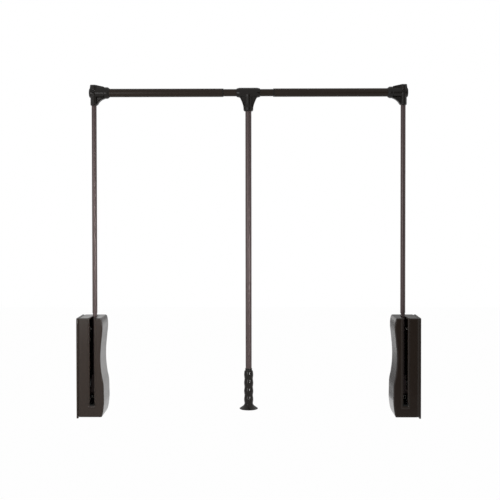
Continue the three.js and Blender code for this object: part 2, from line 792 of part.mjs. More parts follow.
// Compression spring with closed end turns, one unbroken wire
function liftSpring() {
  const wireRadius = springWire / 2;
  const coilRadius = springRadius - wireRadius;
  const closedPitch = springWire + endTurnGap;
  const height = springLength - springWire;
  const openTurns = springTurns - 2;
  const openPitch = (height - 2 * closedPitch) / openTurns;
  const climb = (turns) => {
    const open = THREE.MathUtils.clamp(turns - 1, 0, openTurns);
    return (turns - open) * closedPitch + open * openPitch;
  };
  const steps = springTurns * springCoilSteps;
  const centres = [];
  for (let step = 0; step <= steps; step += 1) {
    const turns = step / springCoilSteps;
    const angle = turns * 2 * Math.PI;
    centres.push(new THREE.Vector3(
      coilRadius * Math.cos(angle), coilRadius * Math.sin(angle), wireRadius + climb(turns)));
  }
  let leastGap = Infinity;
  for (let i = 0; i < centres.length; i += 1) {
    for (let j = i + springCoilSteps / 2; j < centres.length; j += 1) {
      leastGap = Math.min(leastGap, centres[i].distanceTo(centres[j]) - springWire);
    }
  }
  console.log(`spring wire: least gap to itself ${leastGap.toFixed(2)} mm`);
  const places = [];
  centres.forEach((centre, step) => {
    const angle = step / springCoilSteps * 2 * Math.PI;
    const outward = new THREE.Vector3(Math.cos(angle), Math.sin(angle), 0);
    for (let side = 0; side < springWireSides; side += 1) {
      const around = side / springWireSides * 2 * Math.PI;
      const place = centre.clone().addScaledVector(outward, wireRadius * Math.cos(around));
      places.push(place.x, place.y, place.z + wireRadius * Math.sin(around));
    }
  });
  const index = [];
  for (let step = 0; step < steps; step += 1) {
    for (let side = 0; side < springWireSides; side += 1) {
      const a = step * springWireSides + side;
      const b = step * springWireSides + (side + 1) % springWireSides;
      index.push(a, a + springWireSides, b + springWireSides, a, b + springWireSides, b);
    }
  }
  const last = steps * springWireSides;
  for (let side = 1; side < springWireSides - 1; side += 1) {
    index.push(0, side, side + 1, last, last + side + 1, last + side);
  }
  const geometry = new THREE.BufferGeometry();
  geometry.setAttribute('position', new THREE.Float32BufferAttribute(places, 3));
  geometry.setIndex(index);
  return toSolid(geometry);
}

// Bracket that the spring and damper push up against, screwed to the base
function springSeat() {
  const footStart = bracketStart;
  const footEnd = footStart + seatFootThickness;
  const shelf = block(
    footStart, springX + springRadius, seatFront, springY + springRadius,
    seatBottom, seatBottom + seatHeight);
  const foot = block(
    footStart, footEnd, seatFront, springY + springRadius, seatBottom, seatBottom + seatFootHeight);
  const hole = rodAlongZ(
    damperStemRadius + clearance, seatBottom - overrun, seatBottom + seatHeight + overrun,
    springX, springY, smallRound);
  const screwHole = rodAlongX(
    screwShank + clearance, footStart - overrun, footEnd + overrun, springY, seatScrewHeight(),
    smallRound);
  return cut(join(shelf, foot), hole, screwHole);
}

// Oil cylinder inside the spring, hung from the seat by its stem
function damperBody() {
  const bottom = springTop - damperLength;
  const body = join(
    rodAlongZ(damperRadius, bottom, springTop),
    rodAlongZ(damperStemRadius, springTop - overrun, springTop + damperStemLength));
  const bore = rodAlongZ(damperRadius - damperWall, bottom + damperEndWall, springTop - damperEndWall);
  const mouth = rodAlongZ(
    pistonRodRadius + clearance, bottom - overrun, bottom + damperEndWall + overrun, 0, 0, smallRound);
  return cut(body, bore, mouth);
}

function pistonRod() {
  const foot = rackHeadTop - rodSocketDepth + clearance;
  const pistonBottom = springTop - damperLength + pistonRise;
  const pistonTop = pistonBottom + pistonHeight;
  return turnedAboutZ([
    [0, foot],
    [pistonRodRadius, foot],
    [pistonRodRadius, pistonBottom],
    [damperRadius - damperWall - clearance, pistonBottom],
    [damperRadius - damperWall - clearance, pistonTop],
    [0, pistonTop],
  ], smallRound);
}

// Rubber plug behind the lever in the top slot, gripping the cover's top
function restBuffer() {
  const half = slotHalfWidth - clearance;
  const back = topBufferFront + buffer;
  const under = coverTop - coverWall - clearance;
  return join(
    block(armPlane - half, armPlane + half, topBufferFront, back, under - bufferLipHeight, coverTop),
    block(
      armPlane - half - bufferLip, armPlane + half + bufferLip, topBufferFront, back + bufferLip,
      under - bufferLipHeight, under));
}

// Rubber saddle at the foot of the front slot, which the lever lands on
function stopBuffer() {
  const top = stopBufferTop();
  const half = slotHalfWidth + bufferSide;
  const lipHalf = half + bufferLip;
  const inner = coverInnerFront + clearance;
  const plug = block(
    armPlane - half, armPlane + half, frontFace - stopBufferProud, inner + bufferLipHeight,
    top - stopBufferHeight, top);
  const lip = block(
    armPlane - lipHalf, armPlane + lipHalf, inner, inner + bufferLipHeight,
    top - stopBufferHeight - bufferLip, top);
  const channelHalf = leverThickness / 2 + clearance;
  const channel = block(
    -channelHalf, channelHalf, -armRadius - clearance, armRadius + stopBufferHeight * 2,
    frontReach / 2, frontReach * 2);
  const landed = channel.rotate([swingDegrees, 0, 0]).translate([armPlane, 0, 0]);
  return cut(join(plug, lip), landed);
}

// Arm tube from the lever's shoulder up into the elbow, with two screw holes at the back
function armTube() {
  const top = railHeight - armTop;
  const tube = tubeAlongZ(armRadius, armBore, tubeStart + clearance, top);
  const holes = [tubeStart + armScrewRise, railHeight - armElbowScrewDrop].map(
    (z) => rodAlongY(smallShank + clearance, 0, armRadius + overrun, 0, z));
  return cut(tube, ...holes);
}

// Corner casting round the ends of the arm and the rail
function elbow() {
  const sleeve = turnedAboutX([
    [0, -elbowEnd],
    [elbowSleeveRadius * 0.6, -elbowEnd],
    [elbowSleeveRadius * 0.85, elbowEndRound * 0.2 - elbowEnd],
    [elbowSleeveRadius * 0.97, elbowEndRound * 0.55 - elbowEnd],
    [elbowSleeveRadius, elbowEndRound - elbowEnd],
    [elbowSleeveRadius, elbowLipStart - elbowLipRise],
    [elbowLipRadius, elbowLipStart],
    [elbowLipRadius, elbowLipEnd],
    [railRadius + clearance + elbowWeb / 2, elbowLipEnd + elbowNose],
    [0, elbowLipEnd + elbowNose],
  ]);
  const socket = turnedAboutZ([
    [0, -elbowSocketFoot - elbowFootChamfer],
    [elbowSocketRadius - elbowFootChamfer, -elbowSocketFoot - elbowFootChamfer],
    [elbowSocketRadius, -elbowSocketFoot],
    [elbowSocketRadius, 0],
    [0, 0],
  ]);
  const gussetX = elbowSocketRadius + gussetOut;
  const gussetZ = -elbowSleeveRadius - gussetDrop;
  const gusset = sweptAlongY(shapeOf([
    [0, -elbowSocketFoot],
    [elbowSocketRadius * 0.9, -elbowSocketFoot],
    ...arc(gussetX, gussetZ, gussetReach, gussetFromDegrees, gussetToDegrees, gussetSteps),
    [elbowLipStart, 0],
    [0, 0],
  ]), -gussetHalfThickness, gussetHalfThickness);
  const hood = sweptAlongY(shapeOf([
    [-elbowHoodFoot, 0],
    [elbowLipStart, 0],
    [elbowLipStart, elbowHoodEnd - elbowTopCorner],
    [elbowHoodRun, elbowHoodEnd],
    [elbowTopWidth - elbowSocketRadius + elbowTopCorner, elbowTop],
    [elbowTopCorner - elbowSocketRadius + elbowTopCorner / 2, elbowTop],
    [-elbowSocketRadius + elbowTopCorner / 2, elbowTop - elbowTopCorner],
  ]), -hoodHalfThickness, hoodHalfThickness, hoodBevel);
  const railBore = rodAlongX(
    railRadius + clearance, -elbowSocketDepth, elbowLipEnd + elbowNose + overrun, 0, 0, largeRound);
  const armBoreCut = rodAlongZ(
    armRadius + clearance, -elbowSocketFoot - elbowFootChamfer - overrun, clearance - armTop,
    0, 0, largeRound);
  const pocketTop = -elbowSleeveRadius - pocketMargin / 2;
  const pocketLeft = elbowSocketRadius + pocketMargin / 2;
  const pocketShape = shapeOf([
    [pocketLeft, pocketTop],
    [pocketLeft, pocketTop - pocketHeight],
    [pocketLeft + pocketHeight, pocketTop],
  ]);
  const pockets = [-1, 1].map((side) => {
    const [near, far] = [gussetHalfThickness - pocketDepth, gussetHalfThickness + overrun];
    return side < 0 ? sweptAlongY(pocketShape, -far, -near) : sweptAlongY(pocketShape, near, far);
  });
  const screwHole = rodAlongY(smallShank + clearance, -elbowSleeveRadius - overrun, 0, 0, elbowScrewRise);
  const recess = rodAlongY(
    smallHeadRadius + clearance, -elbowSleeveRadius - overrun, elbowScrewRecess - elbowSleeveRadius,
    0, elbowScrewRise);
  const armHole = rodAlongY(
    smallShank + clearance, 0, elbowSocketRadius + overrun, 0, -armElbowScrewDrop);
  return cut(
    join(sleeve, socket, gusset, hood), railBore, armBoreCut, ...pockets, screwHole, recess, armHole);
}

// Outer rail tube, from inside the elbow to its end bush, with the elbow screw's hole
function outerRail() {
  const end = panelSpacing / 2 - armPlane - middleLength / 2 - railBushLength - clearance;
  const tube = tubeAlongX(railRadius, railRadius - railWall, clearance - elbowSocketDepth, end);
  return cut(tube, rodAlongY(smallShank + clearance, -railRadius - overrun, 0, 0, elbowScrewRise));
}

function railBush() {
  return tubeAlongX(railRadius, innerRailRadius + clearance, 0, railBushLength);
}

// Inner rail with the curved slot that the tee's screw runs in
function innerRail() {
  const half = middleLength / 2 + railOverlap;
  const slotHalf = smallShank + clearance;
  const sector = [
    [0, 0],
    ...arc(0, 0, innerRailRadius + overrun, -swivelFrontDegrees - slotEndDegrees,
      swivelBackDegrees + slotEndDegrees, mediumRound),
  ];
  const slot = sweptAlongX(shapeOf(sector), -slotHalf, slotHalf);
  return cut(tubeAlongX(innerRailRadius, innerRailRadius - innerRailWall, -half, half), slot);
}

// Tee: a sleeve on the rail and a trumpet that narrows to the pull rod
function teeConnector() {
  const endRadius = innerRailRadius + clearance + teeEndWall;
  const sleeve = turnedAboutX([
    [0, -teeHalfLength],
    [endRadius, -teeHalfLength],
    [teeRadius, teeEndChamfer - teeHalfLength],
    [teeRadius, teeHalfLength - teeEndChamfer],
    [endRadius, teeHalfLength],
    [0, teeHalfLength],
  ]);
  const oval = (drop, halfDepth, halfWidth) => ({
    x: drop, outline: new THREE.EllipseCurve(0, 0, halfDepth, halfWidth).getPoints(largeRound).slice(1)
      .map((point) => [point.x, point.y]),
  });
  const throat = [];
  const collarTop = teeDrop - teeFootChamfer - teeCollarHeight;
  for (let step = 0; step <= teeThroatSteps; step += 1) {
    const share = step / teeThroatSteps;
    const flare = (1 - share) ** 1.5;
    throat.push(oval(
      mix(teeMouthDrop, collarTop, share), teeCollarRadius, mix(teeCollarRadius, teeMouthRadius, flare)));
  }
  const footRadius = teeCollarRadius - teeFootChamfer;
  const trumpet = lofted([
    oval(0, teeCollarRadius, teeMouthRadius),
    ...throat,
    oval(teeDrop - teeFootChamfer, teeCollarRadius, teeCollarRadius),
    oval(teeDrop, footRadius, footRadius),
  ]).rotate([0, 90, 0]);
  const railBore = rodAlongX(
    innerRailRadius + clearance, -teeHalfLength - overrun, teeHalfLength + overrun, 0, 0, largeRound);
  const rodBore = rodAlongZ(
    rodRadius + clearance, -teeDrop - overrun, clearance - rodRise, 0, 0, largeRound);
  const screwHole = rodAlongY(smallShank + clearance, 0, teeRadius + overrun);
  const recess = rodAlongY(
    smallHeadRadius + clearance, teeRadius - smallHeadHeight / 2, teeRadius + overrun);
  const rodHole = rodAlongY(smallShank + clearance, 0, teeMouthRadius + overrun, 0, -rodScrewDrop);
  return cut(
    join(sleeve, trumpet), railBore, rodBore, screwHole, recess, rodHole);
}

// Pull rod tube, with a hole at the back for each of its two screws
function pullRod() {
  const tube = tubeAlongZ(rodRadius, rodRadius - rodWall, -rodBottom, -rodRise);
  const holes = [rodScrewDrop, gripStart + gripScrewDrop].map(
    (drop) => rodAlongY(smallShank + clearance, 0, rodRadius + overrun, 0, -drop));
  return cut(tube, ...holes);
}

// Ribbed grip with a flared foot, turned about the rod; heights run down from its mouth
function handGrip() {
  const profile = [
    [0, 0],
    [gripMouth, 0],
    [gripMouth, -gripShoulder * 0.6],
    [gripValleyRadius, -gripShoulder],
  ];
  const steps = gripRibs * gripRibSteps;
  for (let step = 1; step <= steps; step += 1) {
    const swell = (1 - Math.cos(step / gripRibSteps * 2 * Math.PI)) / 2;
    const down = gripShoulder + step / gripRibSteps * gripRibPitch;
    profile.push([mix(gripValleyRadius, gripRibRadius, swell), -down]);
  }
  profile.push(
    [gripRibRadius, gripFootHeight - gripLength],
    [
      mix(gripRibRadius, gripFootRadius, 0.53),
      mix(gripFootEdge, gripFootHeight, 0.4) - gripLength,
    ],
    [gripFootRadius, gripFootEdge - gripLength],
    [gripFootRadius, gripFootChamfer - gripLength],
    [gripFootRadius - gripFootChamfer, -gripLength],
    [0, -gripLength]);
  const bore = rodAlongZ(
    rodRadius + clearance, gripStart - rodBottom - clearance, overrun, 0, 0, largeRound);
  const screwHole = rodAlongY(
    smallShank + clearance, 0, gripFootRadius + overrun, 0, -gripScrewDrop);
  const recess = rodAlongY(
    smallHeadRadius + clearance, gripValleyRadius - smallHeadHeight / 2, gripFootRadius + overrun, 0,
    -gripScrewDrop);
  return cut(turnedAboutZ(profile), bore, screwHole, recess);
}

function smallScrew(name, length) {
  return piece(name, screw(smallShank, smallHeadRadius, smallHeadHeight, length), zincSteel);
}

// Everything on one side, drawn for the left panel
function buildSide(side) {
  const group = new THREE.Group();
  const name = (part) => `${side}_${part}`;
  const bushFace = earInner + clearance;
  const farBushFace = farEarInner - clearance;
  group.add(
    piece(name('mounting_base'), mountingBase(), housingPlastic),
    piece(name('housing_cover'), housingCover(), housingPlastic),
    piece(name('pivot_bracket'), pivotBracket(), zincSteel),
    piece(name('pivot_axle'), pivotAxle(), zincSteel),
    piece(name('axle_clip'), axleClip(), springSteel),
    piece(name('axle_bush_wall_side'), axleBush(bushFace, 1), bushPlastic),
    piece(name('axle_bush_room_side'), axleBush(farBushFace, -1), bushPlastic),
    piece(name('lift_lever'), liftLever(), castZinc),
    piece(name('rack'), rackBar(), castZinc),
    piece(name('spring_seat'), springSeat(), zincSteel),
    piece(name('rest_buffer'), restBuffer(), rubber),
    piece(name('stop_buffer'), stopBuffer(), rubber));

  const bracketScrewLength = earInner - bossFloor - clearance;
  const headSeat = earInner + clearance;
  bracketScrewPlaces().forEach(([y, z], i) => {
    const label = name(`bracket_screw_${i === 0 ? 'upper' : 'lower'}`);
    const solid = screw(screwShank, screwHeadRadius, screwHeadHeight, bracketScrewLength);
    group.add(placed(piece(label, solid, zincSteel), headSeat, y, z, facingRoom));
  });
  const seatScrewFace = bracketStart + seatFootThickness + clearance;
  const seatScrew = screw(
    screwShank, screwHeadRadius, screwHeadHeight, seatScrewFace - bossFloor - clearance);
  group.add(placed(
    piece(name('spring_seat_screw'), seatScrew, zincSteel), seatScrewFace, springY,
    seatScrewHeight(), facingRoom));

  group.add(
    placed(piece(name('lift_spring'), liftSpring(), springSteel), springX, springY, springBottom),
    placed(piece(name('damper_body'), damperBody(), zincSteel), springX, springY, 0),
    placed(piece(name('piston_rod'), pistonRod(), zincSteel), springX, springY, 0));

  const arm = new THREE.Group();
  arm.position.x = armPlane;
  arm.add(piece(name('arm_tube'), armTube(), armPaint));
  const armScrewSeat = armRadius + clearance;
  arm.add(placed(
    smallScrew(name('arm_screw'), armScrewSeat - smallShank), 0, armScrewSeat,
    tubeStart + armScrewRise, facingBack));
  group.add(arm);

  const corner = new THREE.Group();
  corner.position.set(armPlane, 0, railHeight);
  corner.add(
    piece(name('elbow'), elbow(), connectorPlastic),
    piece(name('outer_rail'), outerRail(), railPaint),
    placed(
      piece(name('rail_bush'), railBush(), connectorPlastic),
      panelSpacing / 2 - armPlane - middleLength / 2 - railBushLength, 0, 0));
  const railScrewSeat = elbowScrewRecess - elbowSleeveRadius - clearance;
  corner.add(placed(
    smallScrew(name('elbow_rail_screw'), -railScrewSeat - railRadius + railWall * 2), 0, railScrewSeat,
    elbowScrewRise, facingFront));
  const elbowArmSeat = elbowSocketRadius + clearance;
  corner.add(placed(
    smallScrew(name('elbow_arm_screw'), elbowArmSeat - armBore + armWall), 0, elbowArmSeat,
    -armElbowScrewDrop, facingBack));
  group.add(corner);
  return group;
}

// The middle of the lift: inner rail, tee, pull rod and grip, with their screws
function buildMiddle() {
  const group = new THREE.Group();
  group.position.set(panelSpacing / 2, 0, railHeight);
  group.add(
    piece('inner_rail', innerRail(), railPaint),
    piece('tee_connector', teeConnector(), connectorPlastic),
    piece('pull_rod', pullRod(), armPaint),
    placed(piece('hand_grip', handGrip(), connectorPlastic), 0, 0, -gripStart));
  const teeSeat = teeRadius - smallHeadHeight / 2 + clearance;
  const rodScrewSeat = teeCollarRadius + clearance;
  const gripScrewSeat = gripValleyRadius - smallHeadHeight / 2 + clearance;
  const slotTip = innerRailRadius - innerRailWall * 1.5;
  const rodTip = rodRadius - rodWall * 2;
  group.add(
    placed(smallScrew('tee_screw', teeSeat - slotTip), 0, teeSeat, 0, facingBack),
    placed(
      smallScrew('pull_rod_screw', rodScrewSeat - rodTip), 0, rodScrewSeat, -rodScrewDrop, facingBack),
    placed(
      smallScrew('grip_screw', gripScrewSeat - rodTip), 0, gripScrewSeat,
      -gripStart - gripScrewDrop, facingBack));
  return group;
}

const lift = new THREE.Group();
const leftSide = buildSide('left');
const rightSide = buildSide('right');
rightSide.position.x = panelSpacing;
rightSide.scale.x = -1;
lift.add(leftSide, rightSide, buildMiddle());

export default lift;
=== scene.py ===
"""Pull down closet rod, dressed for a studio photograph.

Two moulded housings on the wardrobe's sides, two swinging arms, a telescopic rail and a pull rod.
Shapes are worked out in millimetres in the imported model's frame: X from the left side panel to
the right one, -Y towards the user, +Z up, the origin on the left panel at the arms' axis.
"""
import json
import math

import bmesh
import bpy
from mathutils import Matrix, Vector


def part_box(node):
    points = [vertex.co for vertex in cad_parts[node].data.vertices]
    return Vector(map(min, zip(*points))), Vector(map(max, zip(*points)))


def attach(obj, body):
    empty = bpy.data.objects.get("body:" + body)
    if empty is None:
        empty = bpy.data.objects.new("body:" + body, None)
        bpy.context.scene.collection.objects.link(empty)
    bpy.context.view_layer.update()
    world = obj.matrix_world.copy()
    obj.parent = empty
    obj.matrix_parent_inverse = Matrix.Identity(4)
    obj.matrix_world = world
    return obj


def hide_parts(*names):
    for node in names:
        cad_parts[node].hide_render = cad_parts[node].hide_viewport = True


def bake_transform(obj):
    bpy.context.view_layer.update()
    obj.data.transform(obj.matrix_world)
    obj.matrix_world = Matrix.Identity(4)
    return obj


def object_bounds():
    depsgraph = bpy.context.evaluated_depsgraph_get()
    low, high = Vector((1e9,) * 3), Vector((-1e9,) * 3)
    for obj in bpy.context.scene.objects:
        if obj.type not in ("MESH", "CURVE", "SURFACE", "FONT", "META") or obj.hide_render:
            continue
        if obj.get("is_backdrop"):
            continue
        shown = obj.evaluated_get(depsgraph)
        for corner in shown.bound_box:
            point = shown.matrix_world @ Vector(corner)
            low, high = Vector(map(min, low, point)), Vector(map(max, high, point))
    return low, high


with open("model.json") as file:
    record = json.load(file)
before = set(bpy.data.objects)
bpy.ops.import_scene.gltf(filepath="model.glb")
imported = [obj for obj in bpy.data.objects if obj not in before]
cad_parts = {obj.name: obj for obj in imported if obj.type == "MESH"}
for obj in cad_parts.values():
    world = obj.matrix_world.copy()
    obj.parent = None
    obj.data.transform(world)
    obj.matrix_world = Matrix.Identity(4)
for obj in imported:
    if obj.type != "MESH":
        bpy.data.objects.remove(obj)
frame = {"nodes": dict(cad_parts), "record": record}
cad_low, cad_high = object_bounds()

MILLIMETRE = 0.001
SMALLEST = 0.000001     # points closer than this, in metres, are one
TINY = 1e-9


# ---- Sizes shared by several pieces, in millimetres ----

def extent(node):
    """A CAD node's lowest and highest corner, in millimetres."""
    low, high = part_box(node)
    return [value / MILLIMETRE for value in low], [value / MILLIMETRE for value in high]


def half_width(node, axis):
    """Half of a CAD node's size along X (0), Y (1) or Z (2)."""
    low, high = extent(node)
    return (high[axis] - low[axis]) / 2


arm_low, arm_high = extent("left_arm_tube")
rail_low, rail_high = extent("left_outer_rail")
base_low, base_high = extent("left_mounting_base")
cover_low, cover_high = extent("left_housing_cover")

SPAN = extent("right_mounting_base")[1][0]
MIDDLE = SPAN / 2
ARM_X = (arm_low[0] + arm_high[0]) / 2
RAIL_Z = (rail_low[2] + rail_high[2]) / 2
ARM_RADIUS, ROD_RADIUS = half_width("left_arm_tube", 0), half_width("pull_rod", 0)
RAIL_RADIUS, INNER_RADIUS = half_width("left_outer_rail", 2), half_width("inner_rail", 2)
CLEARANCE = 0.3
TUBE_WALL = 1.2
ROUND = 96


# ---- Sockets that can be reckoned with ----

def operator(operation):
    return lambda self, other: self.reckon(operation, other)


class Socket:
    """A node's output. An expression on it adds the Math nodes that work it out."""

    def __init__(self, plan, link):
        self.plan = plan
        self.link = link

    def reckon(self, operation, *others):
        sockets = dict(enumerate((self, *others)))
        return self.plan.add("ShaderNodeMath", sockets, {"operation": operation})

    __add__ = __radd__ = operator("ADD")
    __mul__ = __rmul__ = operator("MULTIPLY")
    __sub__ = operator("SUBTRACT")
    __truediv__ = operator("DIVIDE")
    __pow__ = operator("POWER")
    __gt__ = operator("GREATER_THAN")
    __lt__ = operator("LESS_THAN")

    def __rsub__(self, other):
        return self * -1.0 + other

    def __rtruediv__(self, other):
        return self ** -1.0 * other

    def clamped(self, low=0.0, high=1.0):
        return self.reckon("MAXIMUM", low).reckon("MINIMUM", high)


class Plan:
    """A node tree that is being laid out, for a finish or for a shape."""

    def __init__(self, tree):
        self.tree = tree

    def feed(self, entry, value):
        """Gives an input its value, the link from a socket or the links from several."""
        if isinstance(value, list):
            for each in value:
                self.feed(entry, each)
        elif isinstance(value, Socket):
            self.tree.links.new(value.link, entry)
        else:
            entry.default_value = value

    def node(self, kind, sockets=None, settings=None):
        """Adds a node: its settings first, then the values and links of its sockets."""
        node = self.tree.nodes.new(kind)
        for key, value in (settings or {}).items():
            setattr(node, key, value)
        for key, value in (sockets or {}).items():
            self.feed(node.inputs[key], value)
        return node

    def add(self, kind, sockets=None, settings=None, output=0):
        """The output of a new node."""
        return Socket(self, self.node(kind, sockets, settings).outputs[output])

    def end(self, result, kind="ShaderNodeOutputMaterial", entry="Surface"):
        """Ends the tree in its output node."""
        self.node(kind, {entry: result})

    def blend(self, factor, first, second):
        """Mixes two colours."""
        sockets = {0: factor, 6: first, 7: second}
        return self.add("ShaderNodeMix", sockets, {"data_type": "RGBA"}, 2)


def emptied(holder):
    """The node tree of a material or the world, with nothing in it."""
    holder.use_nodes = True
    holder.node_tree.nodes.clear()
    return holder.node_tree


def linear(red, green, blue):
    """A screen colour of three numbers up to 255, as the linear colour that a shader takes."""
    def channel(value):
        share = value / 255
        return share / 12.92 if share <= 0.04045 else ((share + 0.055) / 1.055) ** 2.4
    return (channel(red), channel(green), channel(blue), 1.0)


def shade(color, factor):
    return (color[0] * factor, color[1] * factor, color[2] * factor, 1.0)


# ---- Finishes ----

class Finish(Plan):
    """A material that is read from a piece's own place in space."""

    def __init__(self, name):
        self.material = bpy.data.materials.new(name)
        super().__init__(emptied(self.material))
        self.shader = self.node("ShaderNodeBsdfPrincipled")
        self.end(Socket(self, self.shader.outputs[0]))
        self.place = self.add("ShaderNodeTexCoord", output="Object")

    def noise(self, scale, detail=3.0, roughness=0.55, stretch=None):
        place = self.place
        if stretch:
            place = self.add("ShaderNodeMapping", {"Vector": place, "Scale": stretch})
        return self.add("ShaderNodeTexNoise", {
            "Vector": place, "Scale": scale, "Detail": detail, "Roughness": roughness})

    def cells(self, scale):
        return self.add("ShaderNodeTexVoronoi", {"Vector": self.place, "Scale": scale})

    def clouded(self, factor, color, dark, light):
        return self.blend(factor.clamped(), shade(color, dark), shade(color, light))

    def bumped(self, *layers):
        """Stacks layers of (height, strength, distance in metres) into one normal."""
        normal = None
        for height, strength, distance in layers:
            sockets = {"Height": height, "Strength": strength, "Distance": distance}
            if normal:
                sockets["Normal"] = normal
            normal = self.add("ShaderNodeBump", sockets)
        return normal

    def made(self, **values):
        """The material, with these values on its shader."""
        for key, value in values.items():
            self.feed(self.shader.inputs[key.replace("_", " ")], value)
        return self.material


def moulded_plastic(name, color, roughness, level, grain_depth):
    """Fine-grained semi-gloss moulding: spark texture, slight flow marks, dust-soft patches."""
    finish = Finish(name)
    grain = finish.noise(2600.0, 2.0)
    cells = finish.cells(1500.0)
    flow = finish.noise(18.0, 4.0, 0.5, (1.0, 1.0, 0.35))
    patches = finish.noise(65.0, 3.0)
    tone = finish.clouded(flow, color, 0.86, 1.14)
    speck = (grain - 0.62).clamped() * 1.4
    return finish.made(
        Base_Color=finish.blend(speck, tone, shade(color, 1.9)),
        Roughness=(roughness + (patches - 0.5) * 0.10 + (grain - 0.5) * 0.05).clamped(0.05, 1.0),
        Specular_IOR_Level=level,
        Normal=finish.bumped((cells, 0.35, grain_depth), (grain, 0.30, grain_depth * 0.7)))


def tube_paint(name, color, metallic, roughness, level):
    """Powder-coated steel tube: orange peel, fine flake and soft clouds."""
    finish = Finish(name)
    peel = finish.noise(620.0, 2.0, 0.45)
    flake = finish.cells(3800.0)
    cloud = finish.noise(9.0, 3.0)
    tone = finish.clouded(cloud, color, 0.9, 1.1)
    sparkle = (flake - 0.5).clamped() * 0.9
    return finish.made(
        Base_Color=finish.blend(sparkle, tone, shade(color, 1.7)),
        Metallic=metallic,
        Roughness=(roughness + (peel - 0.5) * 0.12).clamped(0.05, 1.0),
        Specular_IOR_Level=level,
        Normal=finish.bumped((peel, 0.12, 0.00012), (flake, 0.05, 0.00002)))


def plated_steel(name, color, roughness, tint):
    """Zinc plate: bluish and yellowish clouds, fine rolling lines, small dull spots."""
    finish = Finish(name)
    cloud = finish.noise(55.0, 4.0)
    lines = finish.noise(900.0, 3.0, 0.5, (1.0, 0.04, 1.0))
    spots = finish.cells(420.0)
    tone = finish.blend(cloud.clamped(), color, tint)
    return finish.made(
        Base_Color=finish.blend((lines - 0.5).clamped() * 0.5, tone, shade(color, 0.7)),
        Metallic=0.95,
        Roughness=(roughness + (cloud - 0.5) * 0.2 + (spots - 0.4) * 0.1).clamped(0.08, 1.0),
        Normal=finish.bumped((lines, 0.15, 0.00004), (spots, 0.08, 0.00004)))


def cast_metal(name, color, roughness):
    """Die-cast zinc, tumbled: matt skin with small dimples and flow clouds."""
    finish = Finish(name)
    surface = finish.noise(1400.0, 4.0, 0.6)
    dimples = finish.cells(700.0)
    cloud = finish.noise(35.0, 3.0)
    return finish.made(
        Base_Color=finish.clouded(cloud, color, 0.82, 1.12),
        Metallic=0.85,
        Roughness=(roughness + (surface - 0.5) * 0.25).clamped(0.1, 1.0),
        Normal=finish.bumped((surface, 0.35, 0.00008), (dimples, 0.2, 0.00006)))


def soft_rubber(name, color):
    """Moulded rubber: matt, finely pored, with a faint bloom."""
    finish = Finish(name)
    pores = finish.noise(1900.0, 3.0, 0.6)
    bloom = finish.noise(140.0, 4.0)
    return finish.made(
        Base_Color=finish.blend((bloom - 0.45).clamped() * 1.6, color, shade(color, 2.2)),
        Roughness=(0.72 + (bloom - 0.5) * 0.2).clamped(0.3, 1.0),
        Specular_IOR_Level=0.3,
        Normal=finish.bumped((pores, 0.4, 0.00007)))


finishes = {slot: made(slot, *values) for slot, made, *values in (
    ("housing_plastic", moulded_plastic, linear(47, 38, 32), 0.18, 0.22, 0.000012),
    ("connector_plastic", moulded_plastic, linear(24, 20, 16), 0.25, 0.22, 0.00001),
    ("rail_paint", tube_paint, linear(44, 35, 28), 0.0, 0.34, 0.15),
    ("arm_paint", tube_paint, linear(84, 72, 71), 0.3, 0.32, 0.22),
    ("zinc_steel", plated_steel, linear(176, 178, 178), 0.34, linear(190, 186, 172)),
    ("cast_zinc", cast_metal, linear(120, 121, 122), 0.5),
    ("black_zinc", plated_steel, linear(46, 45, 44), 0.42, linear(38, 36, 34)),
    ("spring_steel", plated_steel, linear(84, 84, 88), 0.3, linear(96, 90, 84)),
    ("bush_plastic", moulded_plastic, linear(206, 200, 182), 0.45, 0.4, 0.00002),
    ("rubber", soft_rubber, linear(14, 14, 13)))}


# ---- Making meshes ----

def scaled(points):
    """Points in metres, from points in millimetres."""
    return [[value * MILLIMETRE for value in point] for point in points]


def linked(name, data):
    """A new object in the scene."""
    obj = bpy.data.objects.new(name, data)
    bpy.context.scene.collection.objects.link(obj)
    return obj


def plain_mesh(obj):
    """Replaces an object's mesh by its evaluated one, and drops its modifiers."""
    graph = bpy.context.evaluated_depsgraph_get()
    mesh = bpy.data.meshes.new_from_object(obj.evaluated_get(graph))
    obj.modifiers.clear()
    obj.data = mesh


def dress(obj, body, slot, *nodes):
    """Gives a finished piece its finish and body, and hides the CAD nodes that it stands for."""
    obj.data.materials.clear()
    obj.data.materials.append(finishes[slot])
    if body:
        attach(obj, body)
    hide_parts(*nodes)


def welded(mesh, distance, shortest=0.0, flat_angle=0.0):
    """Merges doubles, clears short edges, joins faces that are flat to each other, faces out."""
    work = bmesh.new()
    work.from_mesh(mesh)
    bmesh.ops.remove_doubles(work, verts=work.verts, dist=distance)
    if shortest:
        bmesh.ops.dissolve_degenerate(work, edges=work.edges, dist=shortest)
    if flat_angle:
        bmesh.ops.dissolve_limit(
            work, angle_limit=math.radians(flat_angle), verts=work.verts, edges=work.edges)
    bmesh.ops.recalc_face_normals(work, faces=work.faces)
    work.to_mesh(mesh)
    work.free()


def shaded(mesh, angle):
    """Smooth shading, with the edges sharp that bend by more than an angle in degrees."""
    mesh.shade_smooth()
    mesh.set_sharp_from_angle(angle=math.radians(angle))


def mesh_object(name, points, faces, angle=32):
    """A closed mesh from points in millimetres."""
    mesh = bpy.data.meshes.new(name)
    mesh.from_pydata(scaled(points), [], faces)
    welded(mesh, 2 * SMALLEST, SMALLEST)
    shaded(mesh, angle)
    return linked(name, mesh)


def running(points):
    """How far along a chain of points each one lies."""
    lengths = [0.0]
    for first, second in zip(points, points[1:]):
        lengths.append(lengths[-1] + math.dist(first, second))
    return lengths


